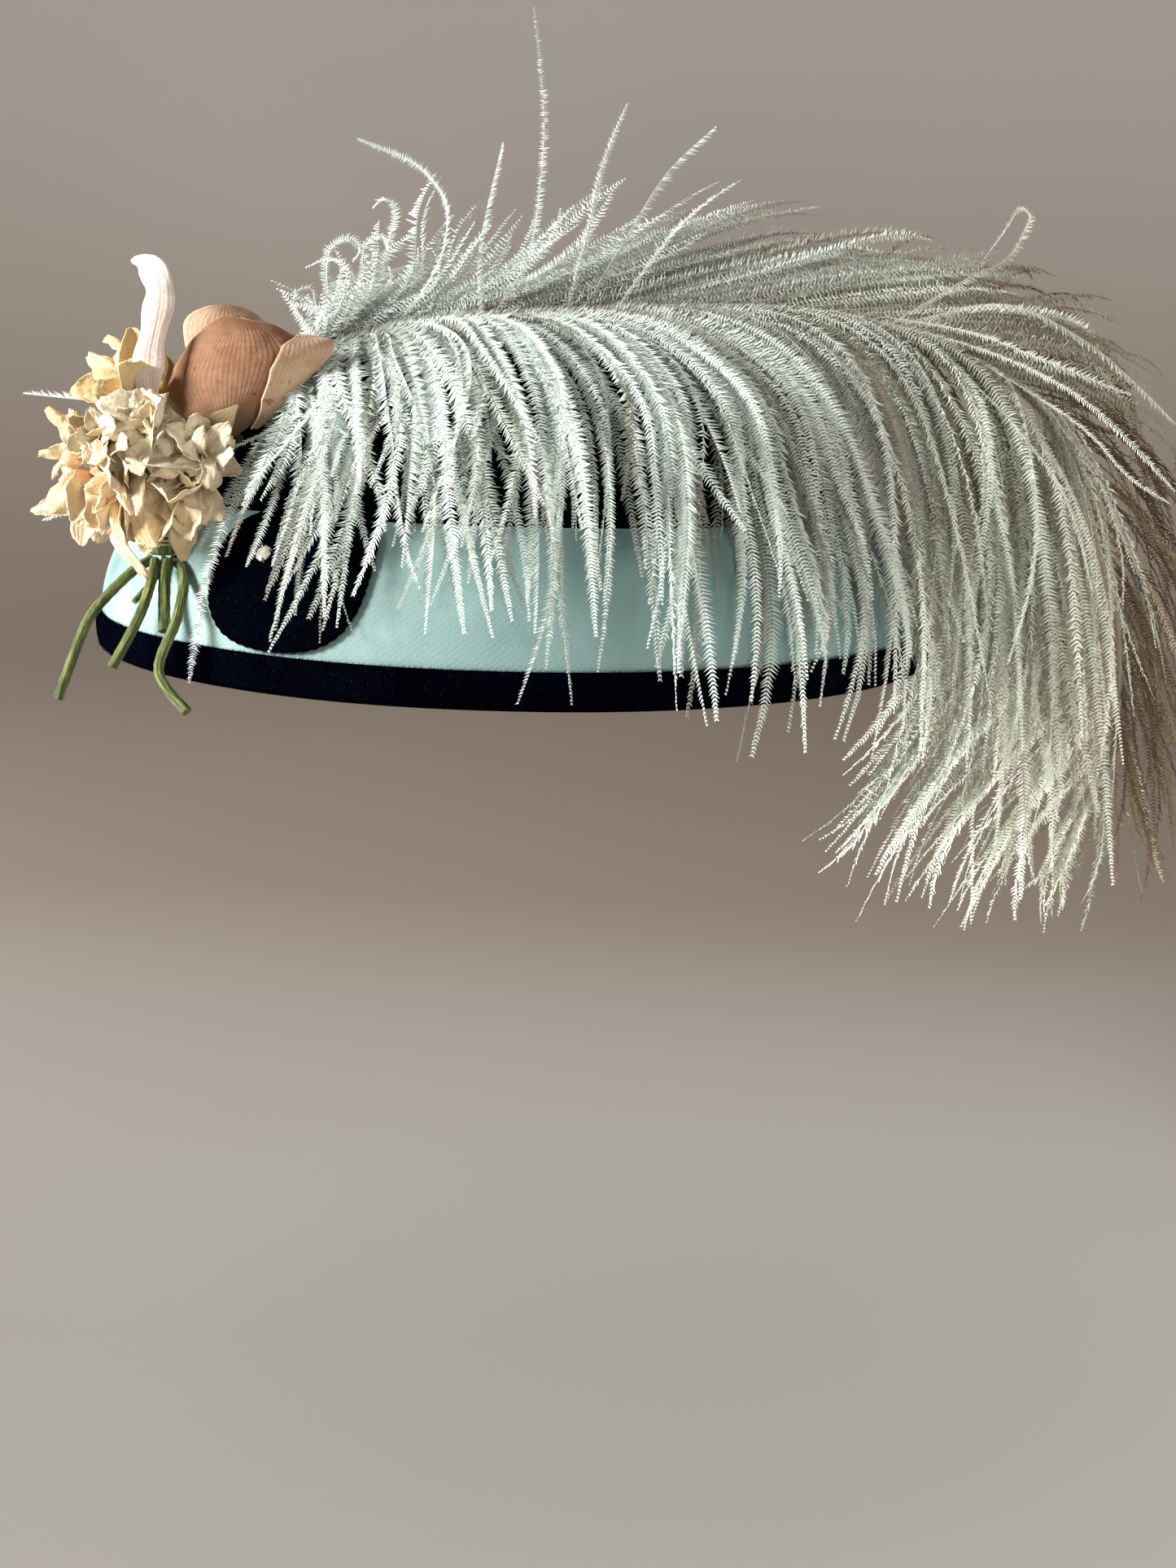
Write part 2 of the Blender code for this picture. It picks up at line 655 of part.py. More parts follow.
def make_wires(finish, collection):
    """The tie, with a wire to each blossom, to the rose's base and to its leaf, as one body."""
    shape = bmesh.new()
    bmesh.ops.create_cone(
        shape,
        cap_ends=True,
        segments=10,
        radius1=TIE_RADIUS,
        radius2=TIE_RADIUS,
        depth=TIE_TOP_Z - TIE_FOOT_Z,
    )
    centre = tie_centre()
    middle = centre + Vector((0, 0, (TIE_TOP_Z + TIE_FOOT_Z) / 2))
    bmesh.ops.translate(shape, vec=middle, verts=shape.verts)
    tie = add_mesh("posy_wires", mesh_from(shape, "posy_wires"), finish, collection)
    wires = new_collection("posy_wires_parts")
    calyx_foot = Vector((*CALYX_CENTRE, CALYX_TOP_Z - CALYX_HEIGHT - GAP))
    leaf_foot = Vector(PETALS["rose_leaf"][0][:3]) * MM - Vector((0, 0, 1.6 * GAP))
    ends = [(calyx_foot, Vector((0, 0, 1))), (leaf_foot, Vector((0, 0, 1)))]
    for row in BLOSSOMS:
        heart, way = blossom_axis(row)
        behind = BLOSSOM_WALL / math.sin(math.radians(row[7])) + 2 * GAP
        ends.append((heart - way * behind, way))
    for number, (end, way) in enumerate(ends):
        turn = math.tau * number / len(ends)
        spread = Vector((math.cos(turn), math.sin(turn), 0)) * 0.45 * TIE_RADIUS
        start = centre + spread + Vector((0, 0, TIE_TOP_Z - 3 * MM))
        route = wire_route(start, end, way)
        add_helper("wire", tube_mesh("wire", route, [WIRE_RADIUS] * len(route), 0), finish, wires)
    join_all(tie, wires)
    return tie


def make_calyx(finish, collection):
    rows = (
        (0, CALYX_TOP_Z),
        (CALYX_RADIUS, CALYX_TOP_Z),
        (0.9 * CALYX_RADIUS, CALYX_TOP_Z - 0.3 * CALYX_HEIGHT),
        (0.4 * CALYX_RADIUS, CALYX_TOP_Z - CALYX_HEIGHT),
        (0, CALYX_TOP_Z - CALYX_HEIGHT),
    )
    mesh = bpy.data.meshes.new("rose_calyx")
    edges = [(row, row + 1) for row in range(len(rows) - 1)]
    mesh.from_pydata([(radius, 0, height) for radius, height in rows], edges, [])
    calyx = add_mesh("rose_calyx", mesh, finish, collection, smooth=False)
    calyx.location = (*CALYX_CENTRE, 0)
    turn = calyx.modifiers.new("Turn", "SCREW")
    turn.steps = 10
    turn.render_steps = 10
    turn.use_merge_vertices = True
    turn.merge_threshold = 0.05 * MM
    return calyx


def make_stem(number, row, finish, collection):
    radius, around = row[0] * MM, math.radians(row[1])
    top = tie_centre() + Vector((math.cos(around), math.sin(around), 0)) * STEM_CIRCLE
    top_z = TIE_FOOT_Z - STEM_DROP * radius
    points = ((top.x / MM, top.y / MM, top_z / MM), *row[2:])
    last = 2 * len(points) - 2
    route = [smooth_route(points, step / last) for step in range(last + 1)]
    name = f"stem_{number}"
    return add_mesh(name, tube_mesh(name, route, [radius] * len(route), 1), finish, collection)


def main():
    clear_scene()
    hat = new_collection("feather_tilt_hat")
    navy = material("navy_velvet", (0.004, 0.006, 0.014), 0.95)
    aqua = material("aqua_velvet", (0.40, 0.66, 0.62), 0.85)
    glass = material("clear_stone", (0.85, 0.86, 0.88), 0.1)
    feather = material("ostrich_feather", (0.66, 0.71, 0.64), 0.8)
    satin = material("rose_satin", (0.45, 0.20, 0.12), 0.5)
    pale_satin = material("pale_satin", (0.75, 0.48, 0.36), 0.5)
    cream = material("cream_cotton", (0.80, 0.68, 0.42), 0.8)
    tan = material("tan_cotton", (0.42, 0.27, 0.12), 0.8)
    green = material("stem_cloth", (0.20, 0.27, 0.08), 0.7)

    turned_shell("crown", crown_profile(), WALL, navy, hat)
    turned_shell("brim", brim_profile(), WALL, aqua, hat)
    turned_shell("rim_binding", binding_profile(), BINDING_WALL, navy, hat)
    make_disc(navy, hat)
    make_stone(glass, hat)
    front = ((FRONT_WISP, False), (FRONT_HANGING, True), (FRONT_RISING, False))
    back = ((BACK_OUTER, False), (BACK_INNER, False))
    make_plume("plume_front", FRONT_QUILL, front, 11, feather, hat)
    make_plume("plume_back", BACK_QUILL, back, 23, feather, hat)

    finishes = {"rose_petal_cup": satin, "rose_leaf": tan}
    for name, rows in PETALS.items():
        make_petal(name, rows, finishes.get(name, pale_satin), hat)
    make_fold(pale_satin, hat)
    make_calyx(green, hat)
    chance = random.Random(5)
    for number, row in enumerate(BLOSSOMS, 1):
        make_blossom(number, row, chance, cream, hat)
    make_wires(green, hat)
    for number, row in enumerate(STEMS, 1):
        make_stem(number, row, green, hat)


main()
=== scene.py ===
"""Looks of the feather tilt hat: velvet body, ostrich plumes and a bunch of cloth flowers.

Metres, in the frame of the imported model: +Z up along the crown's axis, -Y to the viewer and +X to
the side that the plumes fall over. The origin is the inside of the crown's top.
"""

import math
import random

import bmesh
import bpy
from mathutils import Matrix, Vector, noise


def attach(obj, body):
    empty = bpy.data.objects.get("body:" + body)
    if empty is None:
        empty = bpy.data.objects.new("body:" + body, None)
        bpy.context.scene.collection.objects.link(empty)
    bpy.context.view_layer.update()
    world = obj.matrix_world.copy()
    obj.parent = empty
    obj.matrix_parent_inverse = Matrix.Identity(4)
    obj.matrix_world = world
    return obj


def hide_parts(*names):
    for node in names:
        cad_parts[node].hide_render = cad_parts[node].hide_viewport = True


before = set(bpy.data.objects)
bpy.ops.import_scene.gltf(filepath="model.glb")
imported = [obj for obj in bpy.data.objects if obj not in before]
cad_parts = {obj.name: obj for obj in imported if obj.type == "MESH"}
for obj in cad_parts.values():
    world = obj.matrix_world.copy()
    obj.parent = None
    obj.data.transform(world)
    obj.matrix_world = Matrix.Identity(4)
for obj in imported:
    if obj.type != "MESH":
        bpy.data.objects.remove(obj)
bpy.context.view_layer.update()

MM = 0.001
GAP = 0.3 * MM

# Felt body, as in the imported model
WALL = 2.5 * MM
CROWN_RADIUS = 112 * MM
CROWN_RISE = 52.5 * MM
CROWN_POWER = 2.8
CROWN_TOP_Z = WALL
BRIM_TOP_Z = CROWN_TOP_Z - CROWN_RISE
RIM_Z = -97.5 * MM
RIM_RADIUS = 138 * MM
BRIM_POWER = 1.65
BINDING_WALL = 1.3 * MM
BINDING_HEIGHT = 11 * MM
BINDING_PUFF = 0.5 * MM
BRIM_EDGE_RADIUS = RIM_RADIUS - BINDING_WALL - GAP
BRIM_RISE = BRIM_TOP_Z - RIM_Z - BINDING_HEIGHT
BODY_STEPS = 180
BODY_WOBBLE = 0.35 * MM
WOBBLE_ROUND = 2.2
WOBBLE_UP = 14
CROWN_RINGS = 30
BRIM_RINGS = 30
BRIM_STEP = 1.2 * MM
LEAST_RADIUS = 0.2 * MM
# Puff and height of the points on the binding's outer side, as shares
BINDING_PUFFS = ((0.8, 0.8), (1.0, 0.6), (0.9, 0.4), (0.6, 0.22))
# Flues are pushed up over the inner share of the crown, out elsewhere, and left alone below the rim
CROWN_TOP_SHARE = 0.72
BELOW_RIM = 8 * MM

# Velvet disc and its stone
DISC_HALF_WIDTH = 26 * MM
DISC_ANGLE = math.radians(-117.3)
DISC_POWER = 2.6
DISC_THICKNESS = 1.4 * MM
DISC_LIFT = 2.4 * GAP
DISC_MARGIN = 1.2 * MM
DISC_RINGS = 26
DISC_SPOKES = 160
STONE_RADIUS = 2.8 * MM
STONE_HEIGHT = 1.8 * MM
STONE_ANGLE = math.radians(-120.8)
STONE_DOWN = 0.42
STONE_SIDES = 8
# Height, width and half a facet's turn of each level, as shares of the stone's size
STONE_LEVELS = ((0.0, 0.80, 0), (0.35, 1.0, 0), (0.5, 1.0, 0), (0.78, 0.80, 1), (1.0, 0.52, 0))
# Distance from the stone's middle and height of a claw's points, as shares of its size
CLAW_ROWS = ((0.98, 0.0), (1.02, 0.45), (0.98, 0.72), (0.80, 0.86), (0.70, 0.9))
CLAW_RADIUS = 0.32 * MM
CLAW_STEPS = 10

# Pile hairs along the edges
FUZZ_STEPS = 400
HAIR_SPACING = 0.28 * MM
HAIR_WIDTH = 0.2 * MM
HAIR_RIB = 0.03 * MM

# Quill routes in mm: x, y, z
QUILL_RADIUS = 1.6 * MM
QUILL_TIP_RADIUS = 0.9 * MM
FRONT_QUILL = (
    (-57, -58, -3.6),
    (-41, -46, 1.8),
    (-19, -38, 6),
    (3, -30, 8.5),
    (49, -20, 12),
    (93, -18, 12),
    (129, -24, 4),
    (146, -32, -10),
    (156, -40, -30),
)
BACK_QUILL = (
    (4, 26, 3.6),
    (40, 30, 5),
    (86, 40, 0),
    (130, 48, -2),
    (168, 52, -8),
    (196, 52, -34),
    (211, 46, -76),
    (214, 32, -116),
    (206, 10, -148),
)

# Locks: place on the quill, then in mm the tip's x, y, z, how far a flue first runs along the quill
# and how high it arches, then its fall or rise at the tip as a share of its reach
FRONT_HANGING = (
    (0.04, -66, -132, -72, 4, -8, 0.36),
    (0.07, -56, -140, -82, 6, -4, 0.42),
    (0.11, -30, -143, -76, 8, 4, 0.42),
    (0.18, -4, -143, -72, 14, 8, 0.42),
    (0.25, 20, -146, -91, 19, 9, 0.42),
    (0.32, 53, -141, -98, 26, 9, 0.42),
    (0.43, 83, -119, -112, 30, 9, 0.42),
    (0.55, 111, -92, -112, 30, 9, 0.42),
    (0.67, 130, -78, -126, 26, 8, 0.42),
    (0.78, 146, -70, -140, 20, 6, 0.4),
    (0.88, 162, -64, -158, 14, 4, 0.4),
    (0.97, 184, -54, -164, 6, 4, 0.4),
)
FRONT_RISING = (
    (0.00, -60, -28, 8, -10, 8, 0.0),
    (0.04, -52, -20, 20, -8, 10, 0.0),
    (0.08, -38, -6, 32, 4, 12, -0.2),
    (0.12, -12, 10, 50, 8, 10, -0.3),
    (0.16, 20, 24, 68, 10, 8, -0.3),
    (0.20, 48, 34, 72, 14, 10, -0.2),
    (0.25, 72, 40, 64, 18, 12, -0.1),
    (0.31, 98, 50, 49, 20, 16, 0.0),
    (0.38, 122, 56, 38, 22, 18, 0.0),
    (0.46, 144, 58, 29, 24, 18, 0.05),
    (0.56, 166, 54, 19, 26, 16, 0.1),
    (0.66, 186, 44, 10, 26, 14, 0.12),
    (0.78, 203, 22, -8, 22, 12, 0.16),
    (0.90, 214, -4, -34, 16, 10, 0.2),
)
# Single flues in mm, each along its own points
LOOSE_FLUES = (
    ((-50, -52, 1), (-58, -78, -10), (-66, -92, -27), (-74, -107, -42), (-80, -120, -62), (-82, -129, -79),
     (-83, -136, -92)),
    ((-48, -50, 1), (-60, -74, -10), (-70, -90, -28), (-80, -104, -48), (-85, -108, -58)),
    ((-46, -50, 1), (-58, -76, -12), (-68, -92, -30), (-76, -104, -48)),
    ((-44, -50, 1), (-54, -80, -12), (-64, -96, -24), (-76, -107, -31)),
    ((-44, -50, 1), (-54, -82, -14), (-61, -98, -32), (-66, -112, -50), (-70, -120, -62)),
    ((-46, -50, 1), (-56, -84, -12), (-64, -102, -30), (-72, -114, -48)),
    ((-57, -58, -3), (-62, -48, 2), (-68, -42, 8), (-68, -40, 13), (-64, -38, 14), (-63, -38, 10)),
    ((-55, -52, 0), (-58, -42, 10), (-60, -34, 20), (-59, -30, 27), (-54, -29, 30), (-50, -29, 27),
     (-52, -30, 23)),
    ((-50, -48, 2), (-50, -38, 12), (-49, -32, 22), (-48, -30, 29), (-43, -29, 31), (-41, -30, 27)),
    ((-48, -46, 2), (-44, -34, 14), (-42, -24, 28), (-40, -20, 39), (-44, -18, 43), (-47, -19, 40)),
    ((-38, -42, 4), (-30, -35, 14), (-25, -18, 28), (-25, -8, 42), (-32, -2, 52), (-40, 0, 57),
     (-54, 0, 62)),
    ((-12, -38, 6), (-14, -22, 24), (-12, -8, 42), (-8, 0, 62)),
    ((-9, -38, 6), (2, -22, 26), (5, -8, 52), (5, 0, 74), (1, 5, 104)),
    ((15, -30, 10), (20, -12, 32), (24, 4, 54), (32, 15, 77)),
    ((20, -28, 11), (34, -6, 36), (46, 10, 56), (61, 20, 71)),
    ((30, -26, 11), (48, -8, 36), (60, -2, 47), (69, 0, 53)),
    ((118, -24, 10), (139, -28, 23), (153, -18, 30), (161, -4, 40), (163, 0, 45), (159, 0, 46),
     (153, -6, 38), (146, -16, 30)),
    ((120, -26, 9), (150, -30, 16), (178, -22, 6), (200, -10, -8), (216, 0, -20)),
    ((110, -30, 10), (140, -52, 2), (165, -62, -9), (185, -62, -24), (200, -60, -38)),
    ((114, -30, 11), (138, -44, 7), (160, -54, -1), (185, -56, -10)),
    ((128, -28, 6), (139, -50, -8), (150, -62, -20), (166, -68, -41), (176, -68, -68)),
    ((134, -30, 2), (150, -52, -8), (156, -72, -41), (156, -74, -65), (151, -74, -90)),
    ((140, -34, 0), (169, -60, -19), (185, -62, -34), (199, -60, -42)),
    ((-70, -84, -22), (-100, -88, -21), (-120, -84, -20), (-144, -70, -19)),
    ((-100, -92, -40), (-118, -92, -48), (-134, -90, -54)),
)
BACK_OUTER = (
    (0.18, 150, 94, 32, 30, 10, 0.1),
    (0.27, 190, 98, 20, 30, 14, 0.15),
    (0.36, 216, 96, 0, 30, 16, 0.2),
    (0.46, 234, 92, -32, 24, 14, 0.25),
    (0.56, 246, 84, -72, 16, 10, 0.3),
    (0.66, 252, 72, -112, 8, 8, 0.35),
    (0.76, 250, 58, -150, 4, 6, 0.35),
    (0.86, 240, 36, -174, 2, 4, 0.35),
    (0.97, 218, 10, -186, 2, 2, 0.35),
)
BACK_INNER = (
    (0.46, 196, -8, -112, 12, 6, 0.4),
    (0.54, 204, -10, -142, 10, 6, 0.4),
    (0.62, 110, -34, -150, 6, 4, 0.12),
    (0.69, 98, -40, -164, 4, 2, 0.12),
    (0.76, 116, -40, -173, 4, 0, 0.32),
    (0.83, 134, -38, -181, 2, 0, 0.34),
    (0.90, 152, -36, -188, 2, 0, 0.36),
    (0.95, 172, -32, -186, 2, 0, 0.36),
    (0.99, 190, -22, -180, 2, 0, 0.36),
)
# Flues with their tip above PEAK_Z are shorter, those with it left of CURLED_X and above the origin
# curl more, both in mm, and the far side is painted darker, as shade
PEAK_Z = 56
PEAK_KEPT = 0.8
CURLED_X = -30
SHADE_START = 60 * MM
SHADE_RUN = 130 * MM

# Flowers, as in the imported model: petal spines in mm are x, y, z, half width, bend, rise
TIE_RADIUS = 4.4 * MM
TIE_TOP_Z = -50 * MM
TIE_FOOT_Z = -63 * MM
TIE_ANGLE = math.radians(-138)
TIE_STEPS = 30
WIRE_RADIUS = 0.9 * MM
WIRE_REACH = 9 * MM
WIRE_STEPS = 16
THREAD_RADIUS = 0.42 * MM
THREAD_TURNS = 7
THREAD_STEPS = 24
CALYX_CENTRE = (-83 * MM, -86 * MM)
CALYX_RADIUS = 6 * MM
CALYX_TOP_Z = -28.3 * MM
CALYX_HEIGHT = 7 * MM
CALYX_STEPS = 30
CALYX_ROWS = ((0, 0), (0.9, 0), (1, 0.1), (0.9, 0.35), (0.5, 0.8), (0.4, 1), (0, 1))
PETALS = {
    "rose_petal_cup": (
        (-80, -91.6, -27.8, 3.5, 0.6, 0.0),
        (-76, -100, -20, 14, 6, 0.3),
        (-74, -102, -10, 24, 12, 0.28),
        (-74, -99, -2, 20, 11, 0.0),
        (-76, -92, 4.5, 11, 6, -0.2),
    ),
    "rose_petal_curl": (
        (-88.6, -88, -27.6, 2.6, 0, 0.0),
        (-98.5, -98, -20.5, 4.0, 1, 0.0),
        (-99.5, -100, -8, 6.0, 3, 0.0),
        (-98, -98, 3, 4.5, 3, 0.1),
        (-98.5, -92, 12, 4.5, 3, 0.3),
        (-103, -85, 18.5, 3.5, 1, 0.9),
        (-109, -80, 20, 1.5, 0, 2.0),
    ),
    "rose_petal_back_left": (
        (-87.6, -85, -27.6, 2.2, 0, 0.0),
        (-100, -80, -16, 6, 2, -0.3),
        (-104, -78, -5, 6, 2, -0.3),
    ),
    "rose_petal_back_right": (
        (-81, -82.6, -27.6, 3, 0, 0.0),
        (-83, -78, -14, 9, 3, 0.0),
        (-84, -76, 2, 12, 3, 0.0),
        (-83, -77, 8, 7, 1, 0.0),
    ),
    "rose_leaf": (
        (-85, -103, -28, 1.5, 0, -1.0),
        (-79, -107, -24, 4, 1, -1.0),
        (-74, -108, -19, 0.8, 0, -1.0),
    ),
}
FOLD_LIFT = 1.0 * MM + 2 * GAP
FOLD_ROWS = ((0.10, 0.72), (0.28, 0.42), (0.46, 0.34), (0.64, 0.44), (0.80, 0.74))
FOLD_RIGHT_EDGE = 0.98

# Blossoms in mm: x, y, z of the heart, direction that it opens in, length, half angle
BLOSSOMS = (
    (-103, -88, -19, -0.75, -0.15, 0.55, 24, 42),
    (-98, -107, -24, -0.1, -0.85, 0.45, 12, 58),
    (-122, -84, -32, -0.9, -0.3, 0.0, 14, 50),
    (-113, -103, -31, -0.5, -0.8, 0.2, 13, 52),
    (-84, -108, -33, 0.5, -0.75, -0.1, 13, 56),
    (-118, -92, -41, -0.35, -0.2, -0.85, 21, 30),
    (-105, -107, -40, 0.0, -0.15, -1.0, 21, 28),
    (-90, -105, -41, 0.35, -0.15, -0.9, 18, 30),
)
# Large front petals of each blossom in mm: tip x, y, z, width, then how tan it has turned
PETAL_TIPS = {
    1: (
        (-116, -82, -1, 6.5, 1.0),
        (-121, -86, -6, 7.0, 0.8),
        (-118, -92, -11, 6.0, 0.9),
        (-116, -98, -16, 6.5, 0.8),
        (-106, -98, -8, 7.0, 0.7),
        (-98, -100, -14, 7.0, 0.4),
    ),
    2: (
        (-91, -117, -18, 12.0, 0.1),
        (-112, -112, -19, 10.0, 0.2),
        (-98, -119, -34, 12.0, 0.4),
        (-91, -119, -31, 9.0, 0.2),
        (-109, -117, -27, 9.0, 0.3),
        (-102, -112, -17, 9.0, 0.1),
        (-98, -120, -39, 12.0, 0.3),
    ),
    3: (
        (-134, -84, -22, 4.5, 1.0),
        (-125, -84, -22, 7.0, 0.7),
        (-136, -86, -35, 4.0, 0.5),
        (-131, -90, -42, 5.5, 0.5),
        (-109, -104, -27, 8.0, 0.6),
        (-114, -102, -38, 8.0, 0.8),
    ),
    4: (
        (-110, -117, -37, 8.0, 0.8),
        (-97, -120, -34, 8.0, 0.5),
        (-102, -120, -40, 8.0, 0.3),
        (-104, -117, -24, 9.0, 0.2),
        (-105, -118, -33, 10.0, 0.3),
    ),
    5: (
        (-85, -113, -20, 8.0, 0.3),
        (-75, -112, -23, 8.0, 0.3),
        (-93, -116, -25, 8.0, 0.2),
        (-90, -118, -35, 9.0, 0.4),
        (-73, -113, -33, 9.0, 0.1),
        (-80, -116, -42, 8.0, 0.3),
        (-96, -117, -38, 9.0, 0.3),
        (-103, -119, -34, 12.0, 0.2),
    ),
    6: (
        (-126, -96, -52, 7.0, 0.5),
        (-118, -104, -62, 10.0, 0.2),
        (-109, -111, -55, 8.0, 0.7),
        (-127, -96, -44, 7.0, 0.4),
    ),
    7: (
        (-97, -117, -61, 9.0, 0.8),
        (-105, -117, -57, 7.5, 0.5),
        (-112, -114, -51, 7.0, 0.8),
        (-100, -121, -48, 9.0, 0.3),
        (-101, -119, -35, 9.0, 0.4),
        (-100, -116, -67, 8.0, 0.5),
    ),
    8: (
        (-90, -122, -47, 13.0, 0.1),
        (-81, -114, -48, 10.0, 0.2),
        (-86, -114, -57, 11.0, 0.4),
        (-80, -113, -37, 9.0, 0.2),
        (-95, -115, -63, 9.0, 0.4),
        (-91, -118, -36, 10.0, 0.2),
        (-89, -114, -62, 8.0, 0.6),
    ),
}

# Stems in mm: radius, place round the tie in degrees, then x, y, z of the points below it
STEM_CIRCLE = 3.2 * MM
STEM_DROP = 0.95
STEM_STEP = 0.5
TAPE_PITCH = 7.0
# The third stem is hollow at its cut end, and the floor of its bore lies below BORE_Z
HOLLOW_STEM = 3
BORE_Z = -80 * MM
STEMS = (
    (1.55, 170, (-108, -94, -68), (-117, -100, -78), (-121, -102, -86), (-128, -102, -104)),
    (1.55, -122, (-101, -100, -70), (-103, -107, -79), (-110, -111, -93)),
    (1.80, -50, (-97.5, -98, -70), (-96, -106, -83)),
    (1.55, 20, (-92, -97, -68), (-91, -112, -78), (-95.6, -116, -93), (-86.6, -122, -103)),
    (0.90, 95, (-101.5, -88.5, -69), (-106.5, -97, -76)),
)

# Stage, camera and lamps in metres and degrees, the sensor in mm
FLOOR_Z = -360 * MM
STAGE_RADIUS = 2.6
STAGE_CURVE = 0.9
STAGE_HEIGHT = 2.6
STAGE_STEPS = 64
SENSOR = 36
FOCAL_PIXELS = 2400
PHOTO_HEIGHT = 1927
CAMERA_PLACE = (0.02558, -0.65623, 0.00049)
CAMERA_TILT = 12.73
CAMERA_ROLL = 1.69
# Name, place, aim, size, power in watts, colour and spread
LAMPS = (
    ("key", (-1.95, -0.95, 0.62), (0, -0.02, -0.03), 0.7, 112, (1.0, 1.0, 0.97), 180),
    ("top", (-0.6, 0.2, 1.4), (0, 0, 0), 1.2, 4, (0.96, 0.98, 1.0), 180),
    ("floor_glow", (0.9, -0.7, -0.1), (0.45, 0.15, -0.36), 0.5, 4.5, (1.0, 0.95, 0.88), 180),
    ("low_fill", (0.30, -0.78, -0.33), (0.125, -0.04, -0.205), 0.12, 0.23, (1.0, 0.98, 0.95), 22),
)


# Nodes

VALUE = "NodeSocketFloat"
VECTOR = "NodeSocketVector"


def feed(tree, socket, value):
    """Links an output to the socket, or sets its plain value."""
    if isinstance(value, bpy.types.NodeSocket):
        tree.links.new(value, socket)
    else:
        socket.default_value = value


def add_node(tree, kind, inputs=None, **settings):
    """A node with its settings, and its inputs by name or number."""
    node = tree.nodes.new(kind)
    for name, value in settings.items():
        setattr(node, name, value)
    for name, value in (inputs or {}).items():
        feed(tree, node.inputs[name], value)
    return node


def sums(tree, operation, *values):
    """What a Math node makes of these values."""
    node = tree.nodes.new("ShaderNodeMath")
    node.operation = operation
    for socket, value in zip(node.inputs, values):
        feed(tree, socket, value)
    return node.outputs[0]


def times(tree, value, factor):
    return sums(tree, "MULTIPLY", value, factor)


def stirred(tree, grain, strength, value):
    """The value moved up and down by a noise of this strength."""
    return sums(tree, "MULTIPLY_ADD", sums(tree, "SUBTRACT", grain, 0.5), strength, value)


def vectors(tree, operation, *values):
    """What a Vector Math node makes of these values."""
    node = tree.nodes.new("ShaderNodeVectorMath")
    node.operation = operation
    for number, value in enumerate(values):
        title = "Scale" if operation == "SCALE" and number else number
        feed(tree, node.inputs[title], value)
    return node.outputs["Vector"]


def ranged(tree, value, low, high, to_low=0.0, to_high=1.0):
    inputs = {"Value": value, "From Min": low, "From Max": high, "To Min": to_low, "To Max": to_high}
    return add_node(tree, "ShaderNodeMapRange", inputs).outputs["Result"]


def blended(tree, factor, first, second, kind="MIX"):
    """Two colours mixed; the Mix node's colours are its inputs 6 and 7."""
    node = add_node(tree, "ShaderNodeMix", {0: factor}, data_type="RGBA", blend_type=kind)
    for number, colour in ((6, first), (7, second)):
        feed(tree, node.inputs[number], (*colour, 1) if isinstance(colour, tuple) else colour)
    return node.outputs[2]


def noises(tree, vector, scale, detail=3.0, roughness=0.5, distortion=0.0):
    titles = ("Vector", "Scale", "Detail", "Roughness", "Distortion")
    inputs = dict(zip(titles, (vector, scale, detail, roughness, distortion)))
    return add_node(tree, "ShaderNodeTexNoise", inputs).outputs[0]


def marked(tree, title):
    """A value that the piece carries on its points."""
    return add_node(tree, "ShaderNodeAttribute", attribute_name=title).outputs["Fac"]


def parted(tree, vector):
    """The x, y and z of a vector."""
    return add_node(tree, "ShaderNodeSeparateXYZ", {0: vector}).outputs


def new_group(kind, name, inputs, outputs):
    """An empty node group with named sockets: rows of name, socket kind and value."""
    group = bpy.data.node_groups.new(name, kind)
    for title, socket_kind, value in inputs:
        socket = group.interface.new_socket(title, in_out="INPUT", socket_type=socket_kind)
        if value is not None:
            socket.default_value = value
    for title, socket_kind in outputs:
        group.interface.new_socket(title, in_out="OUTPUT", socket_type=socket_kind)
    return group, group.nodes.new("NodeGroupInput").outputs, group.nodes.new("NodeGroupOutput").inputs


def pile_group():
    """Velvet pile: fine grain, brushed patches and the slanting lines of the backing."""
    group, given, out = new_group(
        "ShaderNodeTree",
        "velvet_pile",
        (
            ("Place", VECTOR, None),
            ("Flat Place", VECTOR, None),
            ("Grain", VALUE, 2600.0),
            ("Patches", VALUE, 28.0),
            ("Lines", VALUE, 0.25),
        ),
        (("Brushed", VALUE), ("Sparkle", VALUE), ("Relief", VALUE)),
    )
    patches = noises(group, given["Place"], given["Patches"], 4.0, 0.55, 0.6)
    grain = noises(group, given["Place"], given["Grain"], 2.0, 0.6)
    backing = {
        "Vector": given["Flat Place"],
        "Scale": 330.0,
        "Distortion": 3.0,
        "Detail": 2.0,
        "Detail Scale": 1.4,
    }
    lines = add_node(
        group, "ShaderNodeTexWave", backing, wave_type="BANDS", bands_direction="DIAGONAL"
    ).outputs[1]
    soft_lines = times(group, lines, given["Lines"])
    feed(group, out["Brushed"], sums(group, "ADD", ranged(group, patches, 0.32, 0.68), soft_lines))
    feed(group, out["Sparkle"], ranged(group, grain, 0.66, 0.74))
    feed(group, out["Relief"], sums(group, "ADD", grain, times(group, soft_lines, 0.8)))
    return group


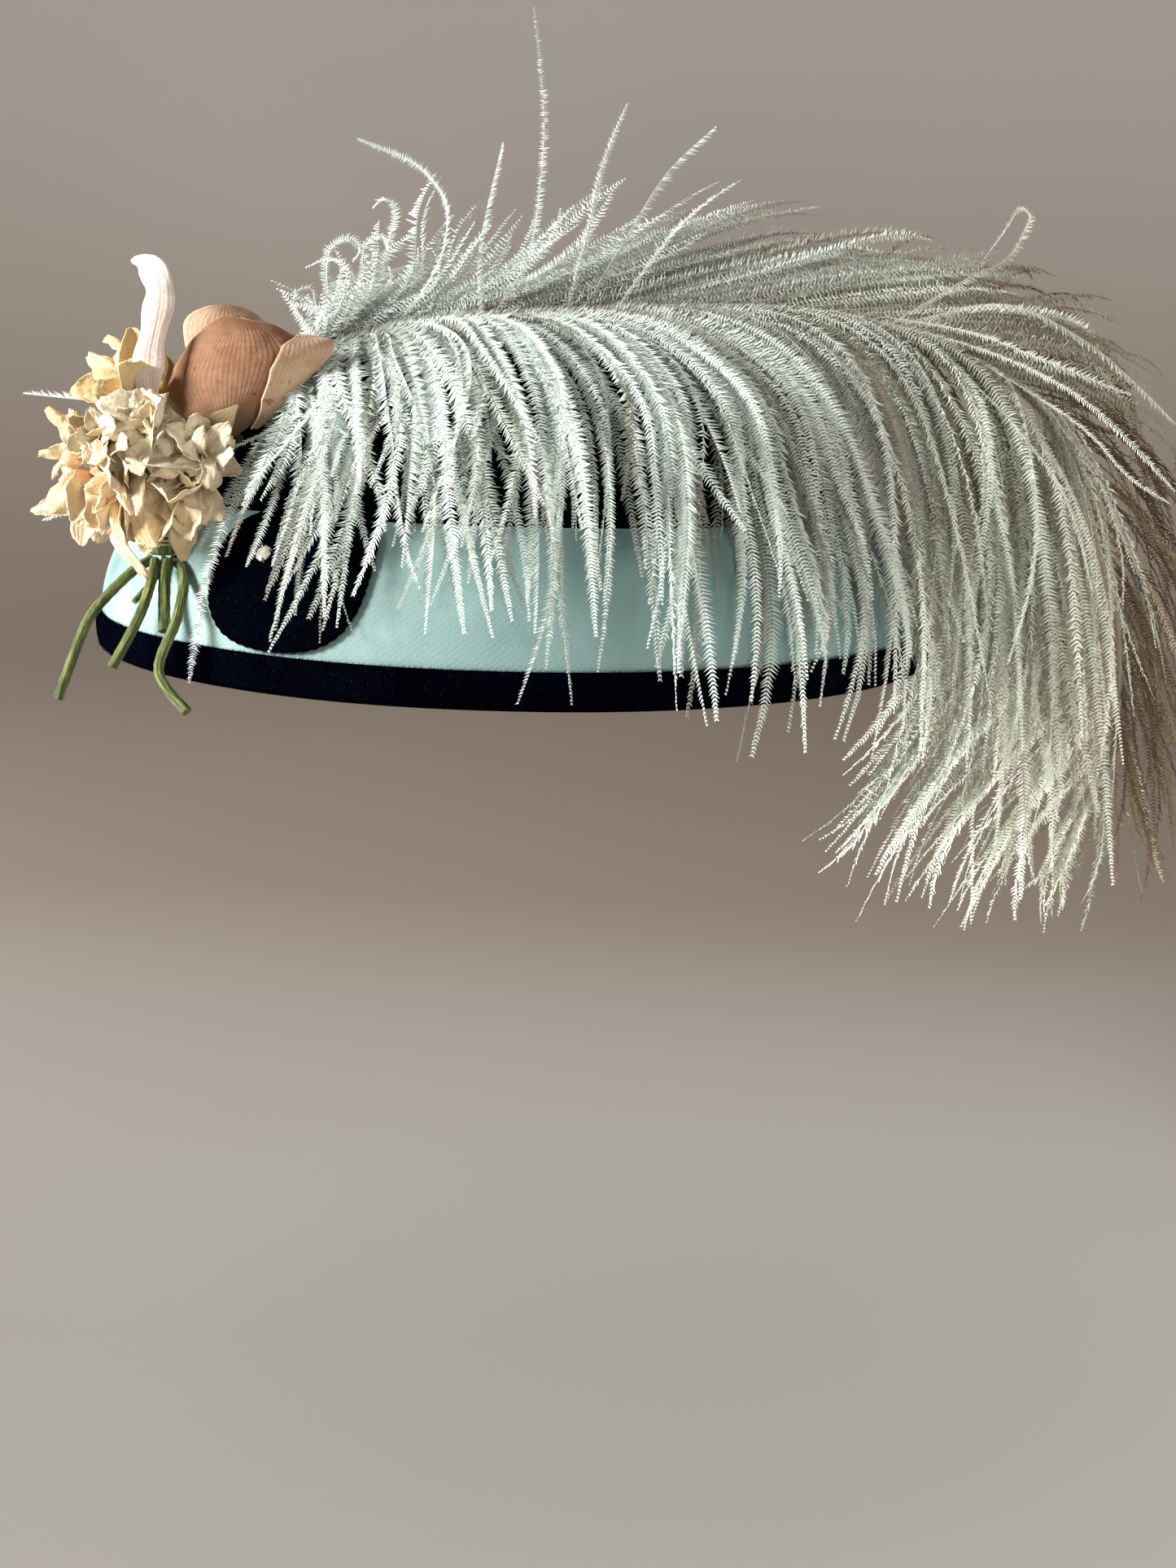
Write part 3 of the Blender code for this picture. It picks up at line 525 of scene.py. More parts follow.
def thread_group():
    """Fine uneven threads along and across a cloth's own UV."""
    group, given, out = new_group(
        "ShaderNodeTree",
        "cloth_threads",
        (
            ("Flat Place", VECTOR, None),
            ("Along", VALUE, 900.0),
            ("Across", VALUE, 900.0),
            ("Uneven", VALUE, 0.35),
        ),
        (("Threads", VALUE), ("Slubs", VALUE)),
    )
    parts = parted(group, given["Flat Place"])
    wander = noises(group, given["Flat Place"], 60.0, 3.0)
    rows = []
    for part, number in ((parts[0], given["Along"]), (parts[1], given["Across"])):
        place = sums(group, "MULTIPLY_ADD", part, number, times(group, wander, 6.0))
        rows.append(sums(group, "MULTIPLY_ADD", sums(group, "SINE", place), 0.5, 0.5))
    stretched = {
        0: times(group, parts[0], given["Along"]),
        1: times(group, parts[1], times(group, given["Across"], 0.06)),
    }
    slub_place = add_node(group, "ShaderNodeCombineXYZ", stretched).outputs[0]
    slubs = noises(group, slub_place, 0.5, 2.0, 0.6)
    threads = times(group, rows[0], sums(group, "MULTIPLY_ADD", rows[1], 0.5, 0.5))
    mixed = add_node(group, "ShaderNodeMix", {0: given["Uneven"], 2: threads, 3: slubs}).outputs[0]
    feed(group, out["Threads"], mixed)
    feed(group, out["Slubs"], slubs)
    return group


def age_group():
    """Blotches and small spots of age over a whole piece."""
    group, given, out = new_group(
        "ShaderNodeTree",
        "age_marks",
        (("Place", VECTOR, None), ("Size", VALUE, 90.0), ("Spots", VALUE, 420.0)),
        (("Blotches", VALUE), ("Spots", VALUE)),
    )
    blotches = noises(group, given["Place"], given["Size"], 5.0, 0.6, 0.8)
    spots = noises(group, given["Place"], given["Spots"], 2.0, 0.5, 1.5)
    feed(group, out["Blotches"], ranged(group, blotches, 0.45, 0.7))
    feed(group, out["Spots"], ranged(group, spots, 0.68, 0.74))
    return group


GROUPS = {"pile": pile_group(), "threads": thread_group(), "age": age_group()}


def placed(tree, group, **values):
    """One of the shared groups in a material, with its own values."""
    node = tree.nodes.new("ShaderNodeGroup")
    node.node_tree = GROUPS[group]
    for title, value in values.items():
        feed(tree, node.inputs[title.replace("_", " ")], value)
    return node.outputs


# Finishes

COTTON_RUST = (0.62, 0.16, 0.04)


def start_material(name, **settings):
    """A material with its shader's plain values set, and its coordinates."""
    made = bpy.data.materials.new(name)
    made.use_nodes = True
    tree = made.node_tree
    shader = tree.nodes["Principled BSDF"]
    for title, value in settings.items():
        shader.inputs[title.replace("_", " ")].default_value = value
    spots = tree.nodes.new("ShaderNodeTexCoord").outputs
    return made, tree, shader, spots["Object"], spots["UV"]


def set_relief(tree, shader, height, distance, strength):
    inputs = {"Height": height, "Distance": distance, "Strength": strength}
    feed(tree, shader.inputs["Normal"], add_node(tree, "ShaderNodeBump", inputs).outputs[0])


def paint(tree, shader, colour, rough):
    feed(tree, shader.inputs["Base Color"], colour)
    feed(tree, shader.inputs["Roughness"], rough)


def velvet(name, deep, mid, bright, sheen, sheen_tint, lines, sparkle, plume_side_shade):
    """Pile from its shade to its brushed light, and how much painted shade darkens it on the plumes' side.
    """
    made, tree, shader, place, flat = start_material(
        name,
        Specular_IOR_Level=0.0,
        Sheen_Weight=sheen,
        Sheen_Roughness=0.35,
        Sheen_Tint=(*sheen_tint, 1),
    )
    pile = placed(tree, "pile", Place=place, Flat_Place=flat, Lines=lines)
    body = blended(tree, pile["Brushed"], deep, mid)
    # Bright specks of the grain: partly painted glints of the pile, partly specks of lint.
    body = blended(tree, times(tree, pile["Sparkle"], sparkle), body, bright)
    # Painted shade: from x = -0.09 m to 0.03 m the pile darkens towards its deep colour, on the plumes'
    # side.
    body = blended(tree, ranged(tree, parted(tree, place)[0], -0.09, 0.03, 0.0, plume_side_shade), body, deep)
    paint(tree, shader, body, ranged(tree, pile["Brushed"], 0, 1, 0.95, 0.7))
    set_relief(tree, shader, pile["Relief"], 0.35 * MM, 0.6)
    return made


def feather_finish(name, deep, mid, bright, far_shade_tint):
    """Flues by their tone, with painted shade near the quill and in the lower layers, and a warmer painted
    shade towards the far side.
    """
    made, tree, shader, place, _ = start_material(
        name,
        Specular_IOR_Level=0.3,
        Sheen_Weight=0.25,
        Sheen_Roughness=0.5,
        Sheen_Tint=(1, 1, 0.97, 1),
    )
    layer = stirred(tree, noises(tree, place, 26.0), 0.6, marked(tree, "tone"))
    body = blended(tree, ranged(tree, layer, 0.0, 0.55), deep, mid)
    body = blended(tree, ranged(tree, layer, 0.45, 1.0), body, bright)
    # Painted shade near the quill, where the flues crowd together.
    root_shade = ranged(tree, marked(tree, "along"), 0.45, 0.0, 0.0, 0.95)
    body = blended(tree, root_shade, body, deep)
    # Painted shade: the far side, at larger x, is multiplied by a warm tint.
    far_shade_share = ranged(tree, parted(tree, place)[0], 0.06, 0.22)
    body = blended(tree, far_shade_share, body, far_shade_tint, "MULTIPLY")
    paint(tree, shader, body, ranged(tree, noises(tree, place, 1800.0, 2.0), 0.3, 0.7, 0.5, 0.75))
    return made


def satin(name, dark, mid, light, rust, roughness):
    """Threads along the petal, painted darker near its top as shade and stained there, with a pale raw edge.
    """
    made, tree, shader, place, flat = start_material(
        name,
        Specular_IOR_Level=0.15,
        Sheen_Weight=0.15,
        Sheen_Roughness=0.3,
        Sheen_Tint=(1, 0.9, 0.8, 1),
    )
    threads = placed(tree, "threads", Flat_Place=flat, Along=4200.0, Across=2600.0, Uneven=0.5)
    age = placed(tree, "age", Place=place, Size=75.0, Spots=150.0)
    up = marked(tree, "along")
    # Painted shade: the petal darkens towards its top.
    upper = ranged(tree, stirred(tree, noises(tree, place, 60.0, 4.0), 0.8, up), 0.35, 0.85)
    body = blended(tree, upper, mid, dark)
    body = blended(tree, times(tree, threads["Threads"], 0.5), body, light)
    stained = times(tree, age["Blotches"], ranged(tree, up, 0.1, 0.7, 0.15, 0.6))
    body = blended(tree, stained, body, rust)
    body = blended(tree, times(tree, age["Spots"], 0.8), body, rust)
    body = blended(tree, times(tree, marked(tree, "edge"), 0.7), body, light)
    paint(tree, shader, body, ranged(tree, threads["Slubs"], 0.2, 0.8, roughness - 0.08, roughness + 0.14))
    ribs = sums(tree, "MULTIPLY_ADD", noises(tree, place, 420.0), 2.0, threads["Threads"])
    set_relief(tree, shader, ribs, 0.2 * MM, 0.7)
    return made


def cotton(name, pale, tan, stain, heart):
    """Starched cotton with a plain weave: petals pale to tan, rust marks and a coloured heart."""
    made, tree, shader, place, flat = start_material(name, Sheen_Weight=0.15, Sheen_Roughness=0.6)
    threads = placed(tree, "threads", Flat_Place=flat, Along=4200.0, Across=4200.0, Uneven=0.25)
    age = placed(tree, "age", Place=place, Size=130.0, Spots=300.0)
    depth = marked(tree, "along")
    soft = noises(tree, place, 150.0, 4.0)
    turned_tan = ranged(tree, stirred(tree, soft, 1.2, marked(tree, "tone")), 0.0, 1.0)
    body = blended(tree, turned_tan, pale, tan)
    for share, colour in (
        (times(tree, threads["Threads"], 0.14), stain),
        (times(tree, age["Blotches"], 0.3), stain),
        (times(tree, age["Spots"], 0.7), COTTON_RUST),
        (ranged(tree, depth, 0.4, 0.04, 0.0, 0.85), heart),
        (ranged(tree, depth, 0.65, 1.0, 0.0, 0.45), tan),
        (times(tree, marked(tree, "edge"), 0.15), stain),
    ):
        body = blended(tree, share, body, colour)
    paint(tree, shader, body, ranged(tree, soft, 0.3, 0.7, 0.78, 0.95))
    relief = sums(tree, "MULTIPLY_ADD", noises(tree, place, 700.0, 4.0, 0.6), 3.0, threads["Threads"])
    set_relief(tree, shader, relief, 0.2 * MM, 0.7)
    return made


def taped(name, dark, mid, light):
    """Cloth tape wound on the slant round a wire, with fine threads across it and light slubs, partly
    painted highlights.
    """
    made, tree, shader, place, flat = start_material(name, Sheen_Weight=0.1, Sheen_Roughness=0.4)
    threads = placed(tree, "threads", Flat_Place=flat, Along=5200.0, Across=3800.0, Uneven=0.4)
    age = placed(tree, "age", Place=place, Size=120.0, Spots=500.0)
    body = blended(tree, threads["Threads"], dark, mid)
    # Light slubs of uneven thread, partly painted highlights on the tape.
    body = blended(tree, ranged(tree, threads["Slubs"], 0.45, 0.7, 0.0, 0.8), body, light)
    body = blended(tree, times(tree, age["Blotches"], 0.5), body, dark)
    paint(tree, shader, body, ranged(tree, threads["Slubs"], 0.2, 0.8, 0.6, 0.85))
    set_relief(tree, shader, threads["Threads"], 0.2 * MM, 0.7)
    return made


def worn_metal(name, dull, clean, grain, spread, **settings):
    """Foil behind the stone and the brass of its claws, dull in some places."""
    made, tree, shader, place, _ = start_material(name, **settings)
    worn = ranged(tree, noises(tree, place, grain), 0.5 - spread, 0.5 + spread)
    feed(tree, shader.inputs["Base Color"], blended(tree, worn, dull, clean))
    return made


def plain_paper():
    """A pale floor, painted darker on its left as shade, and a wall behind it, darker and warmer low down.
    """
    made, tree, shader, place, _ = start_material("studio_paper", Roughness=0.9)
    x, y, z = parted(tree, place)
    # Painted shade: the floor is darker on the left and lighter on the right.
    floor = blended(tree, ranged(tree, x, -0.25, 0.3), (0.29, 0.27, 0.25), (0.44, 0.43, 0.41))
    low = times(tree, ranged(tree, y, 0.1, 0.6), ranged(tree, z, 0.5, -0.3))
    wall = blended(tree, low, (0.43, 0.41, 0.385), (0.30, 0.24, 0.20))
    body = blended(tree, ranged(tree, y, 0.0, 0.5), floor, wall)
    soft = ranged(tree, noises(tree, place, 1.5, 2.0), 0.3, 0.7, 0.0, 0.06)
    feed(tree, shader.inputs["Base Color"], blended(tree, soft, body, (0.5, 0.48, 0.46)))
    return made


# Pieces

MERGE = 0.01 * MM


def link_piece(name, mesh, finishes=(), smooth=True):
    for finish in finishes:
        mesh.materials.append(finish)
    if smooth:
        mesh.shade_smooth()
    thing = bpy.data.objects.new(name, mesh)
    bpy.context.scene.collection.objects.link(thing)
    return thing


def settle(thing, slot, *nodes):
    """The piece rides on the hat and stands for these nodes; slot is not used."""
    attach(thing, "root")
    if nodes:
        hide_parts(*nodes)
    return thing


def mark_points(mesh, marks):
    for title, values in marks.items():
        mesh.attributes.new(title, "FLOAT", "POINT").data.foreach_set("value", values)


def grid_mesh(name, rows, flats=None, marks=None, closed_across=False, closed_up=False):
    """Faces over a grid of points, with its UV and its point attributes."""
    ranks, columns = len(rows), len(rows[0])
    points = [point for row in rows for point in row]
    faces = []
    corners = []
    for rank in range(ranks if closed_up else ranks - 1):
        for column in range(columns if closed_across else columns - 1):
            spots = ((rank, column), (rank, column + 1), (rank + 1, column + 1), (rank + 1, column))
            faces.append([(r % ranks) * columns + c % columns for r, c in spots])
            corners += spots
    mesh = bpy.data.meshes.new(name)
    mesh.from_pydata(points, [], faces)
    if flats:
        layer = mesh.uv_layers.new(name="UVMap")
        for corner, (rank, column) in zip(layer.uv, corners):
            corner.vector = flats(rank, column)
    mark_points(mesh, marks or {})
    return mesh


def tidy_mesh(mesh, closed=True):
    """Doubles merged, and for a closed shape its faces turned outwards."""
    shape = bmesh.new()
    shape.from_mesh(mesh)
    bmesh.ops.remove_doubles(shape, verts=shape.verts, dist=MERGE)
    if closed:
        bmesh.ops.dissolve_degenerate(shape, edges=shape.edges, dist=MERGE / 10)
        bmesh.ops.recalc_face_normals(shape, faces=shape.faces)
    shape.to_mesh(mesh)
    shape.free()
    return mesh


def solidify(thing, thickness, even=True):
    """A wall of this thickness, half to each side of the sheet."""
    wall = thing.modifiers.new("Wall", "SOLIDIFY")
    wall.thickness = thickness
    wall.offset = 0
    wall.use_even_offset = even
    return thing


def ring_point(radius, angle, height=0.0):
    return Vector((radius * math.cos(angle), radius * math.sin(angle), height))


def run_lengths(points):
    """How far along its line each point lies."""
    lengths = [0.0]
    for low, high in zip(points, points[1:]):
        lengths.append(lengths[-1] + math.dist(low, high))
    return lengths


def quarter_oval(radius, rise, power, rings):
    """Rows from (0, rise) out and down to (radius, 0)."""
    rows = []
    for ring in range(rings + 1):
        angle = math.pi / 2 * ring / rings
        out = radius * max(math.sin(angle), 0) ** (2 / power)
        up = rise * max(math.cos(angle), 0) ** (2 / power)
        rows.append((out, up))
    return rows


def between(rows, value):
    """The rest of a row at this first column, read straight between the rows beside it."""
    if value <= rows[0][0]:
        return rows[0][1:]
    for low, high in zip(rows, rows[1:]):
        if value <= high[0]:
            share = (value - low[0]) / (high[0] - low[0])
            return tuple(a + (b - a) * share for a, b in zip(low[1:], high[1:]))
    return rows[-1][1:]


def smooth_at(rows, place):
    """A smooth curve through rows of mm, in metres, at a place counted in rows."""
    index = min(int(place), len(rows) - 2)
    t = place - index
    picks = [rows[min(max(index + step, 0), len(rows) - 1)] for step in (-1, 0, 1, 2)]
    a, b, c, d = (Vector(pick) * MM for pick in picks)
    curve = 2 * b + (c - a) * t + (2 * a - 5 * b + 4 * c - d) * t * t
    return (curve + (3 * b - a - 3 * c + d) * t ** 3) / 2


def smooth_route(rows, share):
    """A point on the smooth curve, at a share of its way from 0 to 1."""
    return smooth_at(rows, min(max(share, 0), 0.99999) * (len(rows) - 1))


def spread_points(rows, count):
    """Points along the smooth curve, evenly in their number."""
    return [smooth_route(rows, step / (count - 1)) for step in range(count)]


def route_direction(rows, share):
    return (smooth_route(rows, share + 0.01) - smooth_route(rows, share - 0.01)).normalized()


def arc_point(start, leave, arrive, end, t):
    """On an arc that leaves its start and reaches its end towards these points."""
    u = 1 - t
    return start * u ** 3 + leave * 3 * u * u * t + arrive * 3 * u * t * t + end * t ** 3


# Felt body


def crown_profile():
    oval = quarter_oval(CROWN_RADIUS, CROWN_RISE, CROWN_POWER, CROWN_RINGS)
    return [(out, up + BRIM_TOP_Z) for out, up in oval] + [(CROWN_RADIUS, BRIM_TOP_Z - WALL)]


def brim_profile(rings):
    """From the crown's foot, level for a step, then down to the bound edge."""
    inner = CROWN_RADIUS + GAP
    level = inner + BRIM_STEP
    oval = quarter_oval(BRIM_EDGE_RADIUS - level, BRIM_RISE, BRIM_POWER, rings)
    rows = [(inner, BRIM_TOP_Z)]
    rows += [(level + out, up + BRIM_TOP_Z - BRIM_RISE) for out, up in oval]
    return rows + [(BRIM_EDGE_RADIUS, RIM_Z + BINDING_WALL + 4 * GAP)]


def binding_profile():
    """A U round the brim's edge, from the outer side's top down and up the inner side."""
    inner = BRIM_EDGE_RADIUS - WALL - GAP - BINDING_WALL
    top_z = RIM_Z + BINDING_HEIGHT
    puffed = [(RIM_RADIUS + puff * BINDING_PUFF, RIM_Z + up * BINDING_HEIGHT) for puff, up in BINDING_PUFFS]
    return [
        (RIM_RADIUS - 0.3 * MM, top_z + 0.1 * MM),
        (RIM_RADIUS + 0.2 * BINDING_PUFF, top_z - 0.5 * MM),
        *puffed,
        (RIM_RADIUS - 0.3 * MM, RIM_Z + 0.6 * MM),
        (RIM_RADIUS - 1.2 * MM, RIM_Z),
        (inner + 1.2 * MM, RIM_Z),
        (inner + 0.3 * MM, RIM_Z + 0.4 * MM),
        (inner, RIM_Z + 1.2 * MM),
        (inner, top_z),
    ]


def inset(profile, depth):
    """The same profile moved inwards, to its right as it runs out and down."""
    rows = []
    for index, (radius, height) in enumerate(profile):
        before = profile[max(index - 1, 0)]
        after = profile[min(index + 1, len(profile) - 1)]
        run, fall = after[0] - before[0], after[1] - before[1]
        size = math.hypot(run, fall)
        if radius == 0:
            rows.append((0.0, height - depth))
        else:
            rows.append((max(radius + depth * fall / size, LEAST_RADIUS), height - depth * run / size))
    return rows


def body_wobble(angle, height):
    """Slight hand-made unevenness, the same for every layer of the body."""
    spot = ring_point(WOBBLE_ROUND, angle, height * WOBBLE_UP)
    return noise.noise(spot) * BODY_WOBBLE * 2


def turned(name, profile, depth, finish, slot, node):
    """A profile with a wall inwards, turned into a closed shell with a UV in metres."""
    loop = profile + inset(profile, depth)[::-1]
    lengths = run_lengths(loop + loop[:1])
    rows = []
    for radius, height in loop:
        row = []
        for step in range(BODY_STEPS):
            angle = math.tau * step / BODY_STEPS
            out = radius + body_wobble(angle, height) * min(radius / CROWN_RADIUS, 1)
            row.append(ring_point(out, angle, height))
        rows.append(row)

    def flats(rank, column):
        return math.tau * column / BODY_STEPS * CROWN_RADIUS, lengths[rank]

    mesh = grid_mesh(name, rows, flats, closed_across=True, closed_up=True)
    return settle(link_piece(name, tidy_mesh(mesh), [finish]), slot, node)


# Places on the hat


def hat_radius(height):
    """The hat's outer radius at a height, 0 above the crown."""
    if height >= CROWN_TOP_Z:
        return 0.0
    if height >= BRIM_TOP_Z:
        share = (height - BRIM_TOP_Z) / CROWN_RISE
        return CROWN_RADIUS * (1 - share ** CROWN_POWER) ** (1 / CROWN_POWER)
    drop = max((height - BRIM_TOP_Z + BRIM_RISE) / BRIM_RISE, 0)
    run = BRIM_EDGE_RADIUS - CROWN_RADIUS
    return CROWN_RADIUS + run * (1 - drop ** BRIM_POWER) ** (1 / BRIM_POWER) + 2 * MM * (1 - drop)


def pushed_clear(point, clearance):
    """The point moved out of the hat, upwards over the crown's top and outwards elsewhere."""
    out = math.hypot(point.x, point.y)
    if point.z < RIM_Z - BELOW_RIM:
        return point
    if out < CROWN_TOP_SHARE * CROWN_RADIUS:
        share = 1 - (out / CROWN_RADIUS) ** CROWN_POWER
        top = BRIM_TOP_Z + CROWN_RISE * share ** (1 / CROWN_POWER)
        return Vector((point.x, point.y, max(point.z, top + clearance)))
    least = hat_radius(point.z - 0.5 * clearance) + clearance
    if out >= least:
        return point
    return Vector((point.x * least / out, point.y * least / out, point.z))


BRIM_ROWS = brim_profile(18)[:-1]
BRIM_RUNS = run_lengths(BRIM_ROWS)
BRIM_LENGTH = BRIM_RUNS[-1]
BRIM_TABLE = [(length / BRIM_LENGTH, *row) for length, row in zip(BRIM_RUNS, BRIM_ROWS)]


def brim_point(angle, down, lift):
    """On the brim: down runs from 0 at the crown's foot to 1 at the binding."""
    radius, height = between(BRIM_TABLE, down)
    before = between(BRIM_TABLE, down - 0.03)
    after = between(BRIM_TABLE, down + 0.03)
    run, fall = after[0] - before[0], before[1] - after[1]
    size = math.hypot(run, fall)
    return ring_point(radius + lift * fall / size, angle, height + lift * run / size)


# Barbs on paths


def barb_shape():
    """One thin closed blade of unit length up Z, a unit wide at its foot along Y, bent towards X."""
    mesh = bpy.data.meshes.new("barb")
    points = ((0, -0.5, 0.05), (0, 0.5, 0.05), (0.16, 0, 0.35), (0, 0, 1))
    mesh.from_pydata(points, [], ((0, 1, 2), (0, 1, 3), (0, 2, 3), (1, 2, 3)))
    return link_piece("barb", tidy_mesh(mesh), smooth=False)


def barb_tree():
    """A rib along each path, and barbs along it on one or both sides.

    Paths are edges with point attributes: side (the way that the barbs stand), reach (their
    length), other (the share of it on the other side), lean (how far they lean to the tip) and
    thick (the rib's radius).
    """
    tree, given, out = new_group(
        "GeometryNodeTree",
        "barbs_on_paths",
        (
            ("Paths", "NodeSocketGeometry", None),
            ("Barb", "NodeSocketObject", None),
            ("Spacing", VALUE, 0.6 * MM),
            ("Width", VALUE, 0.25 * MM),
            ("Scatter", VALUE, 0.25),
            ("Clumps", VALUE, 500.0),
            ("Droop", VALUE, 0.2),
            ("Rib Step", VALUE, 3 * MM),
            ("Least Barb", VALUE, 0.15 * MM),
            ("Seed", "NodeSocketInt", 1),
            ("Finish", "NodeSocketMaterial", None),
        ),
        (("Barbs", "NodeSocketGeometry"),),
    )

    def made(kind, inputs=None, **settings):
        return add_node(tree, kind, inputs, **settings).outputs[0]

    def named(title, kind="FLOAT"):
        return made("GeometryNodeInputNamedAttribute", {"Name": title}, data_type=kind)

    def chances(low, high, seed):
        inputs = {2: low, 3: high, "Seed": sums(tree, "ADD", given["Seed"], float(seed))}
        return add_node(tree, "FunctionNodeRandomValue", inputs, data_type="FLOAT").outputs[1]

    def resampled(step):
        return made("GeometryNodeResampleCurve", {"Curve": curves, "Length": given[step]}, mode="LENGTH")

    curves = made("GeometryNodeMeshToCurve", {0: given["Paths"]})
    ring = made("GeometryNodeCurvePrimitiveCircle", {"Resolution": 3, "Radius": 1.0}, mode="RADIUS")
    rib = {"Curve": resampled("Rib Step"), "Profile Curve": ring, "Scale": named("thick"), "Fill Caps": True}
    grown = [made("GeometryNodeCurveToMesh", rib)]
    line = resampled("Spacing")
    blade = add_node(tree, "GeometryNodeObjectInfo", {"Object": given["Barb"]}).outputs["Geometry"]
    tangent = made("GeometryNodeInputTangent")
    side = named("side", "FLOAT_VECTOR")
    out_way = vectors(tree, "CROSS_PRODUCT", tangent, side)
    spot = made("GeometryNodeInputPosition")
    clump = sums(tree, "SUBTRACT", noises(tree, spot, given["Clumps"], 1.0), 0.5)
    droop = made("ShaderNodeCombineXYZ", {2: times(tree, given["Droop"], -1.0)})
    for sign, share, seed in ((1.0, 1.0, 3), (-1.0, named("other"), 17)):
        stray = sums(tree, "ADD", times(tree, clump, 1.1), chances(-0.1, 0.1, seed))
        ahead = sums(tree, "ADD", named("lean"), stray)
        loose = times(tree, chances(-1.0, 1.0, seed + 1), given["Scatter"])
        across = vectors(tree, "SCALE", side, sign)
        forward = vectors(tree, "SCALE", tangent, ahead)
        sideways = vectors(tree, "SCALE", out_way, loose)
        level = vectors(tree, "ADD", across, forward)
        way = vectors(tree, "ADD", level, vectors(tree, "ADD", sideways, droop))
        turn = made("FunctionNodeAlignRotationToVector", {"Vector": way}, axis="Z")
        rolled = {"Rotation": turn, "Vector": out_way}
        turn = made("FunctionNodeAlignRotationToVector", rolled, axis="X", pivot_axis="Z")
        reach = times(tree, times(tree, named("reach"), share), chances(0.7, 1.12, seed + 2))
        size = made("ShaderNodeCombineXYZ", {0: reach, 1: given["Width"], 2: reach})
        wanted = sums(tree, "GREATER_THAN", reach, given["Least Barb"])
        barbs = {"Points": line, "Selection": wanted, "Instance": blade, "Rotation": turn, "Scale": size}
        grown.append(made("GeometryNodeInstanceOnPoints", barbs))
    join = tree.nodes.new("GeometryNodeJoinGeometry")
    for part in grown:
        tree.links.new(part, join.inputs[0])
    whole = made("GeometryNodeRealizeInstances", {0: join.outputs[0]})
    finished = made("GeometryNodeSetMaterial", {"Geometry": whole, "Material": given["Finish"]})
    feed(tree, out["Barbs"], finished)
    return tree


BARB = barb_shape()
BARB_TREE = barb_tree()
PATH_MARKS = ("reach", "other", "lean", "thick", "tone", "along")


def grow_barbs(name, paths, finish, **sizes):
    """Paths as rows of (point, side, reach, other, lean, thick, tone, along), turned into a mesh."""
    points, edges, sides = [], [], []
    marks = {title: [] for title in PATH_MARKS}
    for path in paths:
        start = len(points)
        for point, side, *rest in path:
            points.append(tuple(point))
            sides += list(side)
            for title, value in zip(PATH_MARKS, rest):
                marks[title].append(value)
        edges += [(start + step, start + step + 1) for step in range(len(path) - 1)]
    mesh = bpy.data.meshes.new(name + "_paths")
    mesh.from_pydata(points, edges, [])
    mesh.attributes.new("side", "FLOAT_VECTOR", "POINT").data.foreach_set("vector", sides)
    mark_points(mesh, marks)
    guide = link_piece(name + "_paths", mesh, smooth=False)
    grow = guide.modifiers.new("Barbs", "NODES")
    grow.node_group = BARB_TREE
    sizes.update({"Barb": BARB, "Finish": finish})
    for item in BARB_TREE.interface.items_tree:
        title = item.name.replace(" ", "_")
        if item.item_type == "SOCKET" and item.in_out == "INPUT" and title in sizes:
            grow[item.identifier] = sizes[title]
    bpy.context.view_layer.update()
    graph = bpy.context.evaluated_depsgraph_get()
    grown = bpy.data.meshes.new_from_object(guide.evaluated_get(graph))
    bpy.data.objects.remove(guide)
    for title in ("side", "reach", "other", "lean", "thick"):
        if title in grown.attributes:
            grown.attributes.remove(grown.attributes[title])
    grown.name = name
    return link_piece(name, grown, () if grown.materials else [finish], smooth=False)


# Tubes


def new_shape():
    """An empty shape in work, with its UV layer."""
    shape = bmesh.new()
    return shape, shape.loops.layers.uv.new("UVMap")


def shape_piece(name, shape, finishes, slot, *nodes):
    bmesh.ops.recalc_face_normals(shape, faces=shape.faces)
    mesh = bpy.data.meshes.new(name)
    shape.to_mesh(mesh)
    shape.free()
    return settle(link_piece(name, mesh, finishes, smooth=False), slot, *nodes)


def tube_rings(points, radii, sides):
    """Rings of points round a path, without turning about it; radii is a list or a function."""
    rings = []
    across = Vector((0.3, 0.9, 0.2))
    last = len(points) - 1
    for index, point in enumerate(points):
        tangent = (points[min(index + 1, last)] - points[max(index - 1, 0)]).normalized()
        across = (across - tangent * across.dot(tangent)).normalized()
        other = tangent.cross(across)
        ring = []
        for side in range(sides):
            angle = math.tau * side / sides
            radius = radii(index, angle) if callable(radii) else radii[index]
            ring.append(point + (across * math.cos(angle) + other * math.sin(angle)) * radius)
        rings.append(ring)
    return rings


def add_tube(shape, flat, rings, finish_index=0, around=1.0):
    """Rings joined into a closed tube, with a UV in metres: around is its girth."""
    made = [[shape.verts.new(point) for point in ring] for ring in rings]
    sides = len(rings[0])
    lengths = run_lengths([ring[0] for ring in rings])
    for index, (ring, above) in enumerate(zip(made, made[1:])):
        for side in range(sides):
            after = (side + 1) % sides
            face = shape.faces.new((ring[side], ring[after], above[after], above[side]))
            face.material_index = finish_index
            face.smooth = True
            spots = ((side, index), (side + 1, index), (side + 1, index + 1), (side, index + 1))
            for corner, (u, v) in zip(face.loops, spots):
                corner[flat].uv = (u / sides * around, lengths[v])
    for ring in (made[0][::-1], made[-1]):
        shape.faces.new(ring).material_index = finish_index


# Plumes

